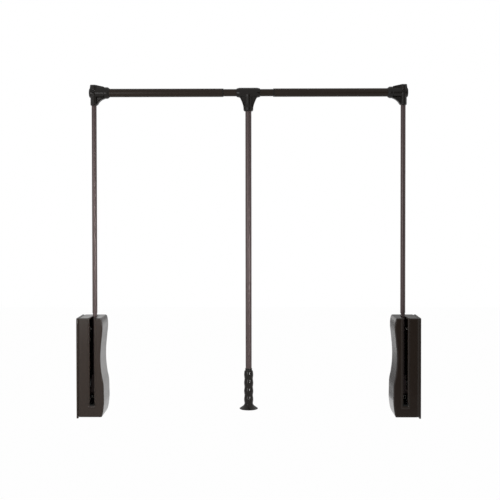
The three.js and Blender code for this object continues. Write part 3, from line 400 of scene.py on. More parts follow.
def rounded_corners(profile, radius, steps=5, closed=True):
    """Rounds each corner of a flat outline of (a, b) points by one radius."""
    count = len(profile)
    rounded = []
    for i, corner in enumerate(profile):
        if not closed and i in (0, count - 1):
            rounded.append(corner)
            continue
        here = Vector(corner)
        back = Vector(profile[i - 1]) - here
        ahead = Vector(profile[(i + 1) % count]) - here
        half = back.angle(ahead) / 2
        reach = min(radius / math.tan(half), back.length * 0.49, ahead.length * 0.49)
        start = here + back.normalized() * reach
        end = here + ahead.normalized() * reach
        for step in range(steps + 1):
            share = step / steps
            first = start.lerp(here, share)
            second = here.lerp(end, share)
            rounded.append(tuple(first.lerp(second, share)))
    return rounded


def strip(first, second, count, closed=True):
    """Four-cornered faces between two rows of points, which start at the numbers given."""
    faces = []
    for i in range(count if closed else count - 1):
        ahead = (i + 1) % count
        faces.append((first + i, first + ahead, second + ahead, second + i))
    return faces


def turned(profile, axis, centre=(0, 0, 0), sides=ROUND):
    """Turns a closed outline of (radius, along) points about an axis through a centre."""
    points, faces = [], []
    count = len(profile)
    shift = "ZXY".index(axis)
    for side in range(sides):
        angle = 2 * math.pi * side / sides
        for radius, along in profile:
            place = (radius * math.cos(angle), radius * math.sin(angle), along)
            points.append(tuple(centre[i] + place[i - shift] for i in range(3)))
        for i, face in enumerate(strip(side * count, (side + 1) % sides * count, count)):
            if profile[i][0] or profile[(i + 1) % count][0]:
                faces.append(face)
    return points, faces


def stacked(stations, axis="X"):
    """A solid through (along, flat outline) stations: X takes (y, z) points, Y takes (x, z)."""
    points = [
        (along, a, b) if axis == "X" else (a, along, b)
        for along, outline in stations for a, b in outline]
    size = len(stations[0][1])
    faces = [tuple(range(size)), tuple(range(len(points) - size, len(points)))]
    for start in range(0, len(points) - size, size):
        faces += strip(start, start + size, size)
    return points, faces


def extruded(outline, start, end):
    """Sweeps a closed outline of (x, z) points along Y."""
    return stacked([(start, outline), (end, outline)], "Y")


def combined(*parts):
    """Several solids as one."""
    points, faces = [], []
    for part_points, part_faces in parts:
        start = len(points)
        points += part_points
        faces += [tuple(start + i for i in face) for face in part_faces]
    return points, faces


def cylinder(radius, axis, start, end, centre=(0, 0, 0), sides=64):
    return turned([(0, start), (radius, start), (radius, end), (0, end)], axis, centre, sides)


def boolean(obj, other_parts, operation):
    """Joins solids to an object's solid or cuts them from it."""
    for part in other_parts:
        helper = mesh_object("helper", *part)
        modifier = obj.modifiers.new("cut", "BOOLEAN")
        modifier.operation = operation
        modifier.solver = "MANIFOLD"
        modifier.object = helper
        plain_mesh(obj)
        bpy.data.objects.remove(helper)


GRAIN, MELT_PASSES = 0.55, 6


def moulded(name, adds, cuts, across):
    """A moulding on the rail, solids joined and cut, with every edge melted to a small radius."""
    adds, cuts = (
        [([(x + across, y, z + RAIL_Z) for x, y, z in points], faces) for points, faces in parts]
        for parts in (adds, cuts))
    obj = mesh_object(name, *adds[0])
    boolean(obj, adds[1:], "UNION")
    boolean(obj, cuts, "DIFFERENCE")
    remesh = obj.modifiers.new("skin", "REMESH")
    remesh.mode = "VOXEL"
    remesh.voxel_size = GRAIN * MILLIMETRE
    remesh.use_smooth_shade = True
    melt = obj.modifiers.new("melt", "SMOOTH")
    melt.iterations = MELT_PASSES
    melt.factor = 0.5
    plain_mesh(obj)
    obj.data.shade_smooth()
    return obj


def pair(obj, name, body, slot, node):
    """Dresses a left-hand piece and a mirrored copy of it for the right-hand side."""
    mesh = obj.data.copy()
    for vertex in mesh.vertices:
        vertex.co.x = SPAN * MILLIMETRE - vertex.co.x
    mesh.flip_normals()
    other = linked(f"right_{name}", mesh)
    dress(obj, f"left_{body}", slot, f"left_{node}")
    dress(other, f"right_{body}", slot, f"right_{node}")


# ---- Tubes ----

def tube(name, node, axis, outer, bore, centre, body, slot):
    """A tube as long as its CAD node, with a small round at its ends."""
    start, end = (corner["XYZ".index(axis)] for corner in extent(node))
    profile = rounded_corners([(bore, start), (outer, start), (outer, end), (bore, end)], 0.25, 4)
    dress(mesh_object(name, *turned(profile, axis, centre)), body, slot, node)


on_rail = (0, 0, RAIL_Z)
for side, arm_x in (("left", ARM_X), ("right", SPAN - ARM_X)):
    tube(f"{side}_arm", f"{side}_arm_tube", "Z", ARM_RADIUS, ARM_RADIUS - TUBE_WALL,
         (arm_x, 0, 0), f"{side}_frame", "arm_paint")
    tube(f"{side}_rail_tube", f"{side}_outer_rail", "X", RAIL_RADIUS, RAIL_RADIUS - TUBE_WALL,
         on_rail, f"{side}_frame", "rail_paint")
    tube(f"{side}_rail_collar", f"{side}_rail_bush", "X", RAIL_RADIUS, INNER_RADIUS + CLEARANCE,
         on_rail, f"{side}_frame", "connector_plastic")
tube("middle_rail_tube", "inner_rail", "X", INNER_RADIUS, INNER_RADIUS - TUBE_WALL,
     on_rail, "inner_rail", "rail_paint")
tube("pull_rod_tube", "pull_rod", "Z", ROD_RADIUS, ROD_RADIUS - TUBE_WALL,
     (MIDDLE, 0, 0), "pull_rod", "arm_paint")


# ---- Housing cover: one moulded skin wrapped round the side outline ----

FRONT, BACK, TOP, FOOT = base_low[1], base_high[1], cover_high[2], cover_low[2]
COVER_START = cover_low[0]
EDGE = 3.0              # radius of the cover's edges
BACK_TOP = 8.0          # radii of the housing's back corners
BACK_FOOT = 22.0
SHELL = 2.2
SLOT_HALF = 5.4
SLOT_CORNER = 2.2
SLOT_BACK = 12.6        # how far behind the arm's axis the slot ends
SLOT_DEPTH = 2.5        # how far below the skin the slot's own wall ends
BUFFER_TUCK = 1.5       # how far the stop buffer reaches under the slot's foot
POCKET_HALF = 6.5       # the wider foot of the slot, where the buffer sits
POCKET_TOP = 10.5
POCKET_TAPER = 3.0
RIM = 5.3               # width of the raised rim round the slot
RIM_HEIGHT = 0.8
LIP = 3.0               # radius of the rim's turn into the slot
ZONE_HALF = 12.0        # half of the strip that the slot and its rim replace
ZONE_COLUMNS = 8
ZONE_MARGIN = 2.5       # between the rim and the strip's two ends
CAP_FOOT, CAP_BACK = 16, 10     # lengths of the rings' rounded ends, at the foot and the back
TURN = (15, 30, 45, 60, 75)     # degrees of the points round an edge
SKIN_ROWS = 76
DEPTH_SHARES = (0, 0.04, 0.1, 0.17, 0.25, 0.33, 0.41, 0.49, 0.57, 0.65, 0.72, 0.79, 0.86, 0.93, 1)
INNER_SHARES = (0.3, 0.6, 0.85, 1.0)

# The bevel beside the base, as (past the cover's start, drawn in)
BEVEL = [(0, 1.6), (0.5, 1.36), (2.2, 0.76), (3.9, 0.18), (4.5, 0.04), (5.6, 0.0)]
PLAIN_COLUMNS = (9.5, 14, 19)   # between the bevel and the slot, past the cover's start

# The rim's rings, as (half width, proud of the skin, whether it widens at the buffer)
RIM_RINGS = [
    (11.3, 0.0, 0), (10.9, 0.12, 0), (10.7, 0.5, 0), (10.35, 0.76, 0), (9.9, RIM_HEIGHT, 0),
    (8.5, RIM_HEIGHT, 0.3)]

# The wavy inner side, as (height, how far it stands off the side panel)
WAVE = [
    (-58.0, 64.7), (-50.4, 67.4), (-35.2, 69.7), (-20.0, 71.0), (2.7, 70.7), (27.0, 69.9),
    (48.3, 65.9), (74.1, 62.8), (105.0, 62.2), (137.5, 64.7), (169.5, 67.8), (187.0, 67.0),
    (198.5, 64.0)]


def wave(z):
    """How far the inner side stands off the panel at a height: a smooth curve through WAVE."""
    z = min(max(z, WAVE[0][0]), WAVE[-1][0])
    i = max(k for k in range(len(WAVE) - 1) if WAVE[k][0] <= z)

    def slope(k):
        ahead, behind = WAVE[min(k + 1, len(WAVE) - 1)], WAVE[max(k - 1, 0)]
        return (ahead[1] - behind[1]) / (ahead[0] - behind[0])
    (z0, w0), (z1, w1) = WAVE[i], WAVE[i + 1]
    span = z1 - z0
    t = (z - z0) / span
    return (
        w0 * (2 * t ** 3 - 3 * t ** 2 + 1) + slope(i) * span * (t ** 3 - 2 * t ** 2 + t)
        + w1 * (3 * t ** 2 - 2 * t ** 3) + slope(i + 1) * span * (t ** 3 - t ** 2))


def back_edge(z):
    """The inner side's back edge and its outward direction at a height, as (y, ny, nz)."""
    for radius, centre_z in ((BACK_FOOT, FOOT + BACK_FOOT), (BACK_TOP, TOP - BACK_TOP)):
        inner = radius - EDGE
        rise = z - centre_z
        if (rise < 0) == (radius == BACK_FOOT) and rise:
            share = max(-1.0, min(1.0, rise / inner))
            run = math.sqrt(1 - share ** 2)
            return BACK - radius + inner * run, run, share
    return BACK - EDGE, 1.0, 0.0


def cap_path(half, straight, end, corner, shares):
    """Points along a slot's end: down one side, round two corners, up the other side."""
    outline = rounded_corners(
        [(-half, straight), (-half, end), (half, end), (half, straight)], corner, 8, False)
    lengths = running(outline)
    points = []
    for share in shares:
        goal = share * lengths[-1]
        i = max(k for k in range(len(outline) - 1) if lengths[k] <= goal + TINY)
        step = (goal - lengths[i]) / max(lengths[i + 1] - lengths[i], TINY)
        points.append(tuple(Vector(outline[i]).lerp(Vector(outline[i + 1]), step)))
    return points


LOW, HIGH, FORE = FOOT + EDGE, TOP - EDGE, FRONT + EDGE
RISE, BEND = HIGH - LOW, EDGE * math.pi / 2
SLOT_FOOT = extent("left_stop_buffer")[0][2] + BUFFER_TUCK - LOW
SLOT_END = RISE + BEND + SLOT_BACK - FORE


def skin(x, along, proud):
    """A place on the front and top: across, along from the front's foot, and proud of it."""
    angle = min(max((along - RISE) / EDGE, 0.0), math.pi / 2)
    y = FORE + max(along - RISE - BEND, 0.0) - math.cos(angle) * (EDGE + proud)
    z = LOW + min(along, RISE) + math.sin(angle) * (EDGE + proud)
    return (x, y, z)


def cover_levels():
    """Heights of the inner side's rows, closer round the two back corners."""
    first, last = FOOT + BACK_FOOT, TOP - BACK_TOP
    levels = [LOW + (BACK_FOOT - EDGE) * (1 - math.cos(math.radians(a))) for a in range(0, 90, 9)]
    levels += [first + (last - first) * i / SKIN_ROWS for i in range(SKIN_ROWS)]
    return levels + [
        last + (BACK_TOP - EDGE) * math.sin(math.radians(a)) for a in range(0, 91, 15)]


def depth_row(z):
    """Places across the inner side at a height, from its front edge to its back edge."""
    reach = back_edge(z)[0] - FORE
    return [FORE + reach * share for share in DEPTH_SHARES]


def cover_loop(levels):
    """The outline round the cover, as (y, z, ny, nz, how far along the skin or None)."""
    loop = [(y, LOW, 0, -1, None) for y in depth_row(levels[0])]
    for z in levels[1:-1]:
        y, ny, nz = back_edge(z)
        loop.append((y, z, ny, nz, None))
    loop += [(y, HIGH, 0, 1, RISE + BEND + y - FORE) for y in reversed(depth_row(levels[-1]))]
    for angle in map(math.radians, reversed(TURN)):
        loop.append((FORE, HIGH, -math.cos(angle), math.sin(angle), RISE + EDGE * angle))
    loop += [(FORE, z, -1, 0, z - LOW) for z in reversed(levels)]
    for angle in map(math.radians, TURN):
        loop.append((FORE, LOW, -math.cos(angle), -math.sin(angle), None))
    return loop


def slot_rings(zone, down):
    """Rings that run from the hole in the skin over the rim and down into the slot."""
    foot_margin, end_margin = SLOT_FOOT + CAP_FOOT, SLOT_END - CAP_BACK
    middle = [s for s in down if foot_margin < s < end_margin]
    half_zone = (zone[-1] - zone[0]) / 2
    ends = []
    for sign, line, end, margin in (
            (1, middle, SLOT_FOOT, [s for s in down if s <= foot_margin]),
            (-1, middle[::-1], SLOT_END, [s for s in reversed(down) if s >= end_margin])):
        cap = ([(-half_zone, s) for s in margin] + [(x - ARM_X, margin[-1]) for x in zone[1:-1]]
               + [(half_zone, s) for s in reversed(margin)])
        lengths = running([(-half_zone, line[-1]), *cap, (half_zone, line[-1])])
        ends.append((sign, line, end, cap, [length / lengths[-1] for length in lengths[1:-1]]))

    def ring(half, proud, bulb):
        spread = half - SLOT_HALF
        flat = []
        for sign, line, end, _, shares in ends:
            path = cap_path(
                half, line[-1], end - sign * spread, SLOT_CORNER + spread * 0.5, shares)
            flat += [(-sign * half, s) for s in line] + [(sign * x, s) for x, s in path]
        points = []
        for x, s in flat:
            share = min(max((SLOT_FOOT + POCKET_TOP - s) / POCKET_TAPER, 0.0), 1.0)
            grown = half + bulb * (POCKET_HALF - SLOT_HALF) * share * share * (3 - 2 * share)
            points.append(skin(ARM_X + x * grown / half, s, proud))
        return points

    rings = list(RIM_RINGS)
    for angle in map(math.radians, range(18, 91, 18)):
        rings.append((
            SLOT_HALF + LIP * (1 - math.sin(angle)), RIM_HEIGHT - LIP * (1 - math.cos(angle)), 1))
    rings.append((SLOT_HALF, -SLOT_DEPTH, 1))
    outer = []
    for sign, line, _, cap, _ in ends:
        outer += [(-sign * half_zone, s) for s in line] + [(sign * x, s) for x, s in cap]
    return [[skin(ARM_X + x, s, 0.0) for x, s in outer]] + [ring(*values) for values in rings]


def housing_cover():
    """The left cover's skin, with the slot and its rim in the front and top."""
    levels = cover_levels()
    loop = cover_loop(levels)
    zone_start, zone_end = ARM_X - ZONE_HALF, ARM_X + ZONE_HALF
    zone = [
        zone_start + (zone_end - zone_start) * i / ZONE_COLUMNS for i in range(ZONE_COLUMNS + 1)]
    before = ([(COVER_START + past, drawn_in) for past, drawn_in in BEVEL]
              + [(COVER_START + past, 0.0) for past in PLAIN_COLUMNS])
    zone_first = len(before)
    zone_last = zone_first + len(zone) - 1
    turn = [math.radians(degrees) for degrees in (*TURN, 90)]
    points, faces = [], []
    for y, z, ny, nz, along in loop:
        inner = wave(z) - EDGE
        ribbon = before + [(x, 0.0) for x in zone]
        ribbon += [(zone_end + (inner - zone_end) * share, 0.0) for share in INNER_SHARES]
        ribbon += [
            (inner + EDGE * math.sin(angle), EDGE * (1 - math.cos(angle))) for angle in turn]
        for x, drawn_in in ribbon:
            reach = EDGE - drawn_in
            points.append((x, y + ny * reach, z + nz * reach))
    width = len(points) // len(loop)

    margin = RIM + ZONE_MARGIN
    held = [k for k, sample in enumerate(loop) if sample[4] is not None
            and SLOT_FOOT - margin < sample[4] < SLOT_END + margin]
    for k in range(len(loop)):
        row = strip(k * width, (k + 1) % len(loop) * width, width, False)
        if held[0] <= k < held[-1]:
            row[zone_first:zone_last] = []
        faces += row

    for number, z in enumerate(levels):
        start, row = len(points), [(wave(z), y, z) for y in depth_row(z)]
        points += row
        if number:
            faces += strip(start - len(row), start, len(row), False)

    down = [loop[k][4] for k in range(held[0], held[-1] + 1)]
    for number, ring in enumerate(slot_rings(zone, down)):
        start = len(points)
        points += ring
        if number:
            faces += strip(start - len(ring), start, len(ring))
    return points, faces


cover_points, cover_faces = housing_cover()
for side in ("left", "right"):
    points = cover_points if side == "left" else [(SPAN - x, y, z) for x, y, z in cover_points]
    cover = mesh_object(f"{side}_wavy_cover", points, cover_faces, 40)
    foremost = min(cover.data.polygons, key=lambda face: face.center.y)
    if foremost.normal.y > 0:   # an open skin can come out inside out
        cover.data.flip_normals()
    wall = cover.modifiers.new("wall", "SOLIDIFY")
    wall.thickness = SHELL * MILLIMETRE
    wall.offset = -1
    wall.use_even_offset = False
    wall.use_rim = True
    plain_mesh(cover)
    cover.data.set_sharp_from_angle(angle=math.radians(40))
    dress(cover, f"{side}_housing", "housing_plastic", f"{side}_housing_cover")


# ---- Mounting base ----

def side_outline(bottom, inset):
    """The housing seen from its side, as a rounded (y, z) outline drawn in by an inset."""
    corners = [
        (FRONT + inset, TOP - inset, EDGE), (BACK - inset, TOP - inset, BACK_TOP),
        (BACK - inset, bottom + inset, BACK_FOOT), (FRONT + inset, bottom + inset, EDGE)]
    outline = []
    for i, (a, b, radius) in enumerate(corners):
        radius = max(radius - inset, 0.6)
        here = Vector((a, b))
        back = (Vector(corners[i - 1][:2]) - here).normalized()
        ahead = (Vector(corners[(i + 1) % 4][:2]) - here).normalized()
        centre = here + (back + ahead) * radius
        for step in range(ROUND // 8 + 1):
            angle = math.pi / 2 * step / (ROUND // 8)
            outline.append(tuple(
                centre - ahead * radius * math.cos(angle) - back * radius * math.sin(angle)))
    return outline


def slab(bottom, *stations):
    """A solid with the housing's side outline through (x, how far drawn in) stations."""
    return stacked([(x, side_outline(bottom, inset)) for x, inset in stations])


def back_pockets():
    """Shallow pockets between ribs in the face that lies against the wardrobe's side panel."""
    rows, columns, pitch_y, pitch_z, rib, depth = 12, 5, 18.4, 19.0, 2.2, 0.9
    parts = []
    for row in range(rows):
        for column in range(columns):
            if row in (0, rows - 1) and column in (0, columns - 1):
                continue  # a screw hole is there
            y, z = FRONT + 5 + pitch_y * column, FOOT + 6 + pitch_z * row
            y_end, z_end = y + pitch_y - rib, z + pitch_z - rib
            outline = rounded_corners([(y, z), (y_end, z), (y_end, z_end), (y, z_end)], 1.6, 4)
            parts.append(stacked([(-1.0, outline), (depth, outline)]))
    return combined(*parts)


# The tray's plate, rim and hollow, as (x, how far drawn in)
PLATE = [
    (0.0, 0.5), (0.15, 0.15), (0.5, 0.0), (3.3, 0.0), (3.9, 0.18), (4.25, 0.55), (4.4, 1.0)]
TRAY_RIM = [(2.0, 2.8), (13.4, 2.8), (base_high[0], 3.4)]
HOLLOW = [(3.0, 4.8), (30.0, 4.8)]

BOSSES = [(-8, 34), (-8, -34), (21, 173.3)]     # for the bracket's and the spring seat's screws
BOSS_RADIUS, BOSS_HEIGHT = 5.0, 9.0
HOLE_INSET = 16
COUNTERSUNK = [(0, -2), (2.6, -2), (2.6, 1.4), (5.0, 3.9), (5.0, 9), (0, 9)]
bosses = [cylinder(BOSS_RADIUS, "X", 1.5, BOSS_HEIGHT, (0, y, z)) for y, z in BOSSES]
holes = [
    turned(COUNTERSUNK, "X", (0, y, z), 48) for y in (FRONT + HOLE_INSET, BACK - HOLE_INSET)
    for z in (TOP - HOLE_INSET, FOOT + HOLE_INSET)]

base = mesh_object("left_base", *slab(base_low[2], *PLATE), angle=50)
boolean(base, [slab(FOOT, *TRAY_RIM)], "UNION")
boolean(base, [slab(FOOT, *HOLLOW)], "DIFFERENCE")
boolean(base, bosses, "UNION")
boolean(base, [*holes, back_pockets()], "DIFFERENCE")
shaded(base.data, 30)
pair(base, "base", "housing", "housing_plastic", "mounting_base")


# ---- Corner elbow ----

SCREW_BORE = 1.9
THROUGH = 30.0


def gusset_arc(radius):
    """The hollow under the elbow, from the arm's socket up to the rail's collar."""
    x, z, first, swept, steps = 35.5, -43.0, 156, 52, 12
    angles = [math.radians(first - swept * i / steps) for i in range(steps + 1)]
    return [(x + radius * math.cos(angle), z + radius * math.sin(angle)) for angle in angles]


def elbow():
    """Solids to join and to cut, from where the arm's and the rail's axes cross."""
    sleeve = [
        (0, -12.4), (8.6, -12.4), (10.6, -12.1), (12.2, -11.1), (13.1, -9.6), (13.5, -7.6),
        (13.5, 26.2), (14.4, 27.2), (15.2, 28.4), (15.2, 35.6), (14.8, 36.9), (12.2, 40.6),
        (11.8, 41.0), (0, 41.0)]
    socket = [
        (0, -33.6), (7.4, -33.6), (8.4, -33.0), (9.5, -31.2), (9.5, 18.0), (8.6, 20.2),
        (7.4, 20.9), (0, 20.9)]
    boss = [
        (0, -33.6), (5.6, -33.6), (6.8, -33.0), (7.6, -31.2), (7.6, 17.4), (6.6, 19.4), (0, 19.8)]
    hood = rounded_corners([
        (-11.8, -2.0), (28.2, -2.0), (28.2, 14.6), (26.2, 16.0), (3.4, 20.9),
        (-8.6, 20.9)], 1.6, 4)
    arc = gusset_arc(28.6)
    web = [(0, -31.4), (8.6, -31.4)] + arc + [(28.6, 0), (0, 0)]
    rail_bore, arm_bore, recess = 11.3, 6.8, 3.5
    rail_screw, arm_screw = (0, 0, 3.0), (0, 0, -22.0)
    adds = [
        turned(sleeve, "X"), turned(socket, "Z"), extruded(hood, -9.2, 9.2),
        turned(boss, "Z", (0, -6.6, 0)), extruded(web, -5.0, 5.0),
        extruded(arc + gusset_arc(31.2)[::-1], -8.2, 8.2)]
    cuts = [
        cylinder(rail_bore, "X", -8.0, 60.0),
        cylinder(arm_bore, "Z", -60.0, -12.2),
        cylinder(recess, "Y", -THROUGH, -12.1, rail_screw, 48),
        cylinder(SCREW_BORE, "Y", -THROUGH, 0.0, rail_screw, 48),
        cylinder(SCREW_BORE, "Y", 0.0, THROUGH, arm_screw, 48)]
    return adds, cuts


corner = moulded("left_corner_elbow", *elbow(), ARM_X)
pair(corner, "corner_elbow", "frame", "connector_plastic", "elbow")


# ---- Tee on the middle of the rail ----

def tee():
    """Solids to join and to cut, from where the pull rod's and the rail's axes cross."""
    sleeve = [
        (0, -31.0), (10.9, -31.0), (11.2, -30.6), (13.0, -23.2), (13.0, 23.2), (11.2, 30.6),
        (10.9, 31.0), (0, 31.0)]
    socket = [
        (0, -49.0), (10.0, -49.0), (10.7, -48.5), (12.6, -46.1), (12.8, -45.1), (12.8, -39.5),
        (12.2, -32.0), (12.0, -12.0), (12.4, 0), (0, 0)]
    steps, recess, rib = 16, 3.4, 2.6
    shares = [i / steps for i in range(steps + 1)]
    flare = [(12.9 + 12.0 * share ** 1.5, -39.6 + 31.6 * share) for share in shares]
    wing = [(12.6, -44.0), *flare, (24.9, 0)]
    wing = [(-x, z) for x, z in reversed(wing)] + wing
    adds = [turned(sleeve, "X"), turned(socket, "Z"), extruded(wing, -7.0, 7.0)]
    for sign in (-1, 1):
        band = [(sign * x, z) for x, z in flare]
        band += [(sign * (x - rib), z) for x, z in reversed(flare)]
        adds.append(extruded(band, -9.0, 9.0))
    cuts = [
        cylinder(INNER_RADIUS + CLEARANCE, "X", -60, 60),
        cylinder(ROD_RADIUS + CLEARANCE, "Z", -70, -13.7),
        cylinder(recess, "Y", 12.0, THROUGH, sides=48),
        cylinder(SCREW_BORE, "Y", 0.0, THROUGH, sides=48),
        cylinder(SCREW_BORE, "Y", 0.0, THROUGH, (0, 0, -38.0), 48)]
    return adds, cuts


dress(moulded("rail_tee", *tee(), MIDDLE), "pull_rod", "connector_plastic", "tee_connector")


# ---- Shapes that follow a rule, laid out as geometry trees ----

class Form(Plan):
    """A geometry tree with named sizes in metres."""

    def __init__(self, name, sizes):
        super().__init__(bpy.data.node_groups.new(name, "GeometryNodeTree"))
        face = self.tree.interface
        for way in ("OUTPUT", "INPUT"):
            face.new_socket("Geometry", in_out=way, socket_type="NodeSocketGeometry")
        self.keys = {}
        for label, value in sizes.items():
            entry = face.new_socket(label, in_out="INPUT", socket_type="NodeSocketFloat")
            entry.default_value = value
            self.keys[label] = entry.identifier
        entrance = self.node("NodeGroupInput")
        self.entrance = Socket(self, entrance.outputs["Geometry"])
        self.sizes = [Socket(self, entrance.outputs[label]) for label in sizes]

    def vector(self, x, y, z):
        return self.add("ShaderNodeCombineXYZ", {0: x, 1: y, 2: z})

    def close(self, geometry, slot):
        smooth = self.add("GeometryNodeSetShadeSmooth", {"Geometry": geometry})
        whole = self.add("GeometryNodeRealizeInstances", {"Geometry": smooth})
        self.end(self.add("GeometryNodeSetMaterial", {
            "Geometry": whole, "Material": finishes[slot]}), "NodeGroupOutput", "Geometry")

    def revolved(self, rows, around, radius_of, height_of):
        """A grid rolled round Z. Radius and height come from the row, counted from zero."""
        grid = self.add("GeometryNodeMeshGrid", {
            "Size X": 1.0, "Size Y": 1.0, "Vertices X": around + 1, "Vertices Y": rows})
        index = self.add("GeometryNodeInputIndex")
        column = (index / rows + 0.001).reckon("FLOOR")
        row = index - column * rows
        angle = column * (2 * math.pi / around)
        radius, height = radius_of(row), height_of(row)
        place = self.vector(
            radius * angle.reckon("COSINE"), radius * angle.reckon("SINE"), height)
        rolled = self.add("GeometryNodeSetPosition", {"Geometry": grid, "Position": place})
        return self.add("GeometryNodeMergeByDistance", {
            "Geometry": rolled, "Distance": 2 * SMALLEST})

    def make(self, name, mesh=None, **sizes):
        """A piece with this form, with some of its sizes set in millimetres."""
        obj = linked(name, mesh or bpy.data.meshes.new(name))
        modifier = obj.modifiers.new("form", "NODES")
        modifier.node_group = self.tree
        for label, value in sizes.items():
            modifier[self.keys[label.replace("_", " ")]] = value * MILLIMETRE
        plain_mesh(obj)
        welded(obj.data, SMALLEST)
        shaded(obj.data, 35)
        return obj


COIL_TURNS = 11
RIBS = 4
HEAD_RADIUS, HEAD_HEIGHT = 3.1, 1.9


def coil_spring_form():
    """A compression spring of round wire, its end turns closed."""
    form = Form("coil_spring", {
        "Turns": COIL_TURNS, "Coil Radius": 0.008, "Wire Radius": 0.0015, "Length": 0.1287,
        "Centre X": 0.0, "Centre Y": 0.0, "Bottom": 0.0})
    line = form.add("GeometryNodeCurvePrimitiveLine", {"End": (0, 0, 1)})
    line = form.add("GeometryNodeResampleCurve", {"Curve": line, "Count": COIL_TURNS * 40 + 1})
    turns, coil, wire, length, centre_x, centre_y, bottom = form.sizes
    turn = form.add("GeometryNodeSplineParameter", output="Factor") * turns
    rise = turn.clamped() + (turn - (turns - 1)).clamped()
    open_turns = (turn - 1).clamped(0.0, turns - 2)
    closed = wire * 2.2  # the rise of an end turn
    pitch = (length - wire * 2 - closed * 2) / (turns - 2)
    height = rise * closed + open_turns * pitch + wire + bottom
    angle = turn * (2 * math.pi)
    place = form.vector(
        centre_x + coil * angle.reckon("COSINE"), centre_y + coil * angle.reckon("SINE"), height)
    wound = form.add("GeometryNodeSetPosition", {"Geometry": line, "Position": place})
    ring = form.add("GeometryNodeCurvePrimitiveCircle", {"Resolution": 14, "Radius": wire})
    form.close(form.add("GeometryNodeCurveToMesh", {
        "Curve": wound, "Profile Curve": ring, "Fill Caps": True}), "spring_steel")
    return form


def grip_form():
    """The ribbed grip: one formula for its radius down its length, in metres."""
    form = Form("ribbed_grip", {
        "Length": 0.1067, "Mouth": 0.0091, "Valley": 0.0111, "Rib": 0.0122, "Ribs": RIBS,
        "Foot Radius": 0.0242, "Bore": 0.0083, "Bore Depth": 0.0973, "Top": 0.0, "Centre X": 0.0})
    shoulder_start, shoulder_long = 0.0044, 0.0028
    ribs_start, ribs_less = 0.0055, 0.0193
    neck_up, neck_long = 0.0142, 0.0034
    flare_up, flare_long, flare_power = 0.011, 0.0095, 1.24
    edge_long, edge_deep = 0.0009, 0.0008
    hollow_share, hollow_deep = 0.86, 0.0016
    outer_rows = 220
    length, mouth, valley, rib, ribs, foot, bore, bore_depth, top, centre_x = form.sizes

    def share(row):
        return ((row - 3) / (outer_rows - 1)).clamped()

    def smooth(value):
        value = value.clamped()
        return value * value * (3.0 - value * 2.0)

    def radius(row):
        drop = share(row) * length
        shoulder = smooth((drop - shoulder_start) / shoulder_long)
        pitch = (length - ribs_less) / ribs
        phase = ((drop - ribs_start) / pitch).clamped(0.0, RIBS)
        swell = (1.0 - (phase * (2 * math.pi)).reckon("COSINE")) * 0.5
        body = valley + (rib - valley) * (swell ** 0.8)
        body = mouth + (body - mouth) * shoulder
        neck = smooth((drop - (length - neck_up)) / neck_long)
        body = body + (rib - body) * neck
        flare = ((drop - (length - flare_up)) / flare_long).clamped()
        flared = rib + (foot - rib) * (flare ** flare_power)
        rounded = ((drop - (length - edge_long)) / edge_long).clamped()
        edge = edge_deep * (1.0 - (1.0 - rounded * rounded).reckon("MAXIMUM", 0.0) ** 0.5)
        solid = body.reckon("MAXIMUM", flared * (flare > 0.0)) - edge
        start = (row > 0.5) * (row < 2.5)
        inside = (row > 2.5) * (row < outer_rows + 2.5)
        under = (row > outer_rows + 2.5) * (row < outer_rows + 3.5)
        return solid * inside + bore * start + foot * hollow_share * under

    def height(row):
        deep = bore_depth * (row < 1.5)
        lifted = hollow_deep * (row > outer_rows + 3.5)
        return top - share(row) * length - deep + lifted

    body = form.revolved(outer_rows + 5, 96, radius, height)
    form.close(form.add("GeometryNodeTransform", {
        "Geometry": body, "Translation": form.vector(centre_x, 0.0, 0.0)}), "connector_plastic")
    return form


def screw_form():
    """Pan-head screws with a cross recess, one on each point of the mesh it is given."""
    form = Form("cross_head_screws", {
        "Head Radius": HEAD_RADIUS * MILLIMETRE, "Head Height": HEAD_HEIGHT * MILLIMETRE,
        "Shank": 0.0016})
    head_radius, head_height, shank = form.sizes
    rows = 14

    def dome(row):
        return (row / (rows - 2)).clamped() * (math.pi / 2)

    head = form.revolved(
        rows, 40, lambda row: head_radius * dome(row).reckon("SINE") * (row < rows - 1.5),
        lambda row: head_height * (dome(row).reckon("COSINE").reckon("MAXIMUM", 0.0) ** 0.55))
    long, wide, deep = 0.0036, 0.0009, 0.0026
    cutters = [form.add("GeometryNodeTransform", {
        "Geometry": form.add("GeometryNodeMeshCube", {"Size": size}),
        "Translation": form.vector(0.0, 0.0, head_height + 0.0002)})
        for size in ((long, wide, deep), (wide, long, deep))]
    head = form.add(
        "GeometryNodeMeshBoolean", {"Mesh 1": head, "Mesh 2": cutters},
        {"operation": "DIFFERENCE", "solver": "EXACT"})
    turns, turn_rows, depth, blunt = 9, 8, 0.08, 0.35
    shank_rows = turns * turn_rows + 2

    def thread(row):
        crest = (row * (2 * math.pi / turn_rows)).reckon("COSINE") * depth
        closed = (row > 0.5) * (row < shank_rows - 1.5)
        tip = ((shank_rows - 1 - row) / 10.0).clamped(blunt, 1.0)
        return shank * (1 - depth + crest) * tip * closed

    shank_body = form.revolved(
        shank_rows, 20, thread,
        lambda row: ((row - 1).clamped(0.0, shank_rows - 3.0) / (shank_rows - 3.0)) * -1.0)

    def stored(name, kind="FLOAT"):
        return form.add("GeometryNodeInputNamedAttribute", {"Name": name}, {"data_type": kind})

    turn, size, length = stored("turn", "FLOAT_VECTOR"), stored("size"), stored("length")

    def placed(part, reach):
        return form.add("GeometryNodeInstanceOnPoints", {
            "Points": form.entrance, "Instance": part, "Rotation": turn,
            "Scale": form.vector(size, size, reach)})

    form.close(form.add("GeometryNodeJoinGeometry", {
        "Geometry": [placed(head, size), placed(shank_body, length)]}), "zinc_steel")
    return form


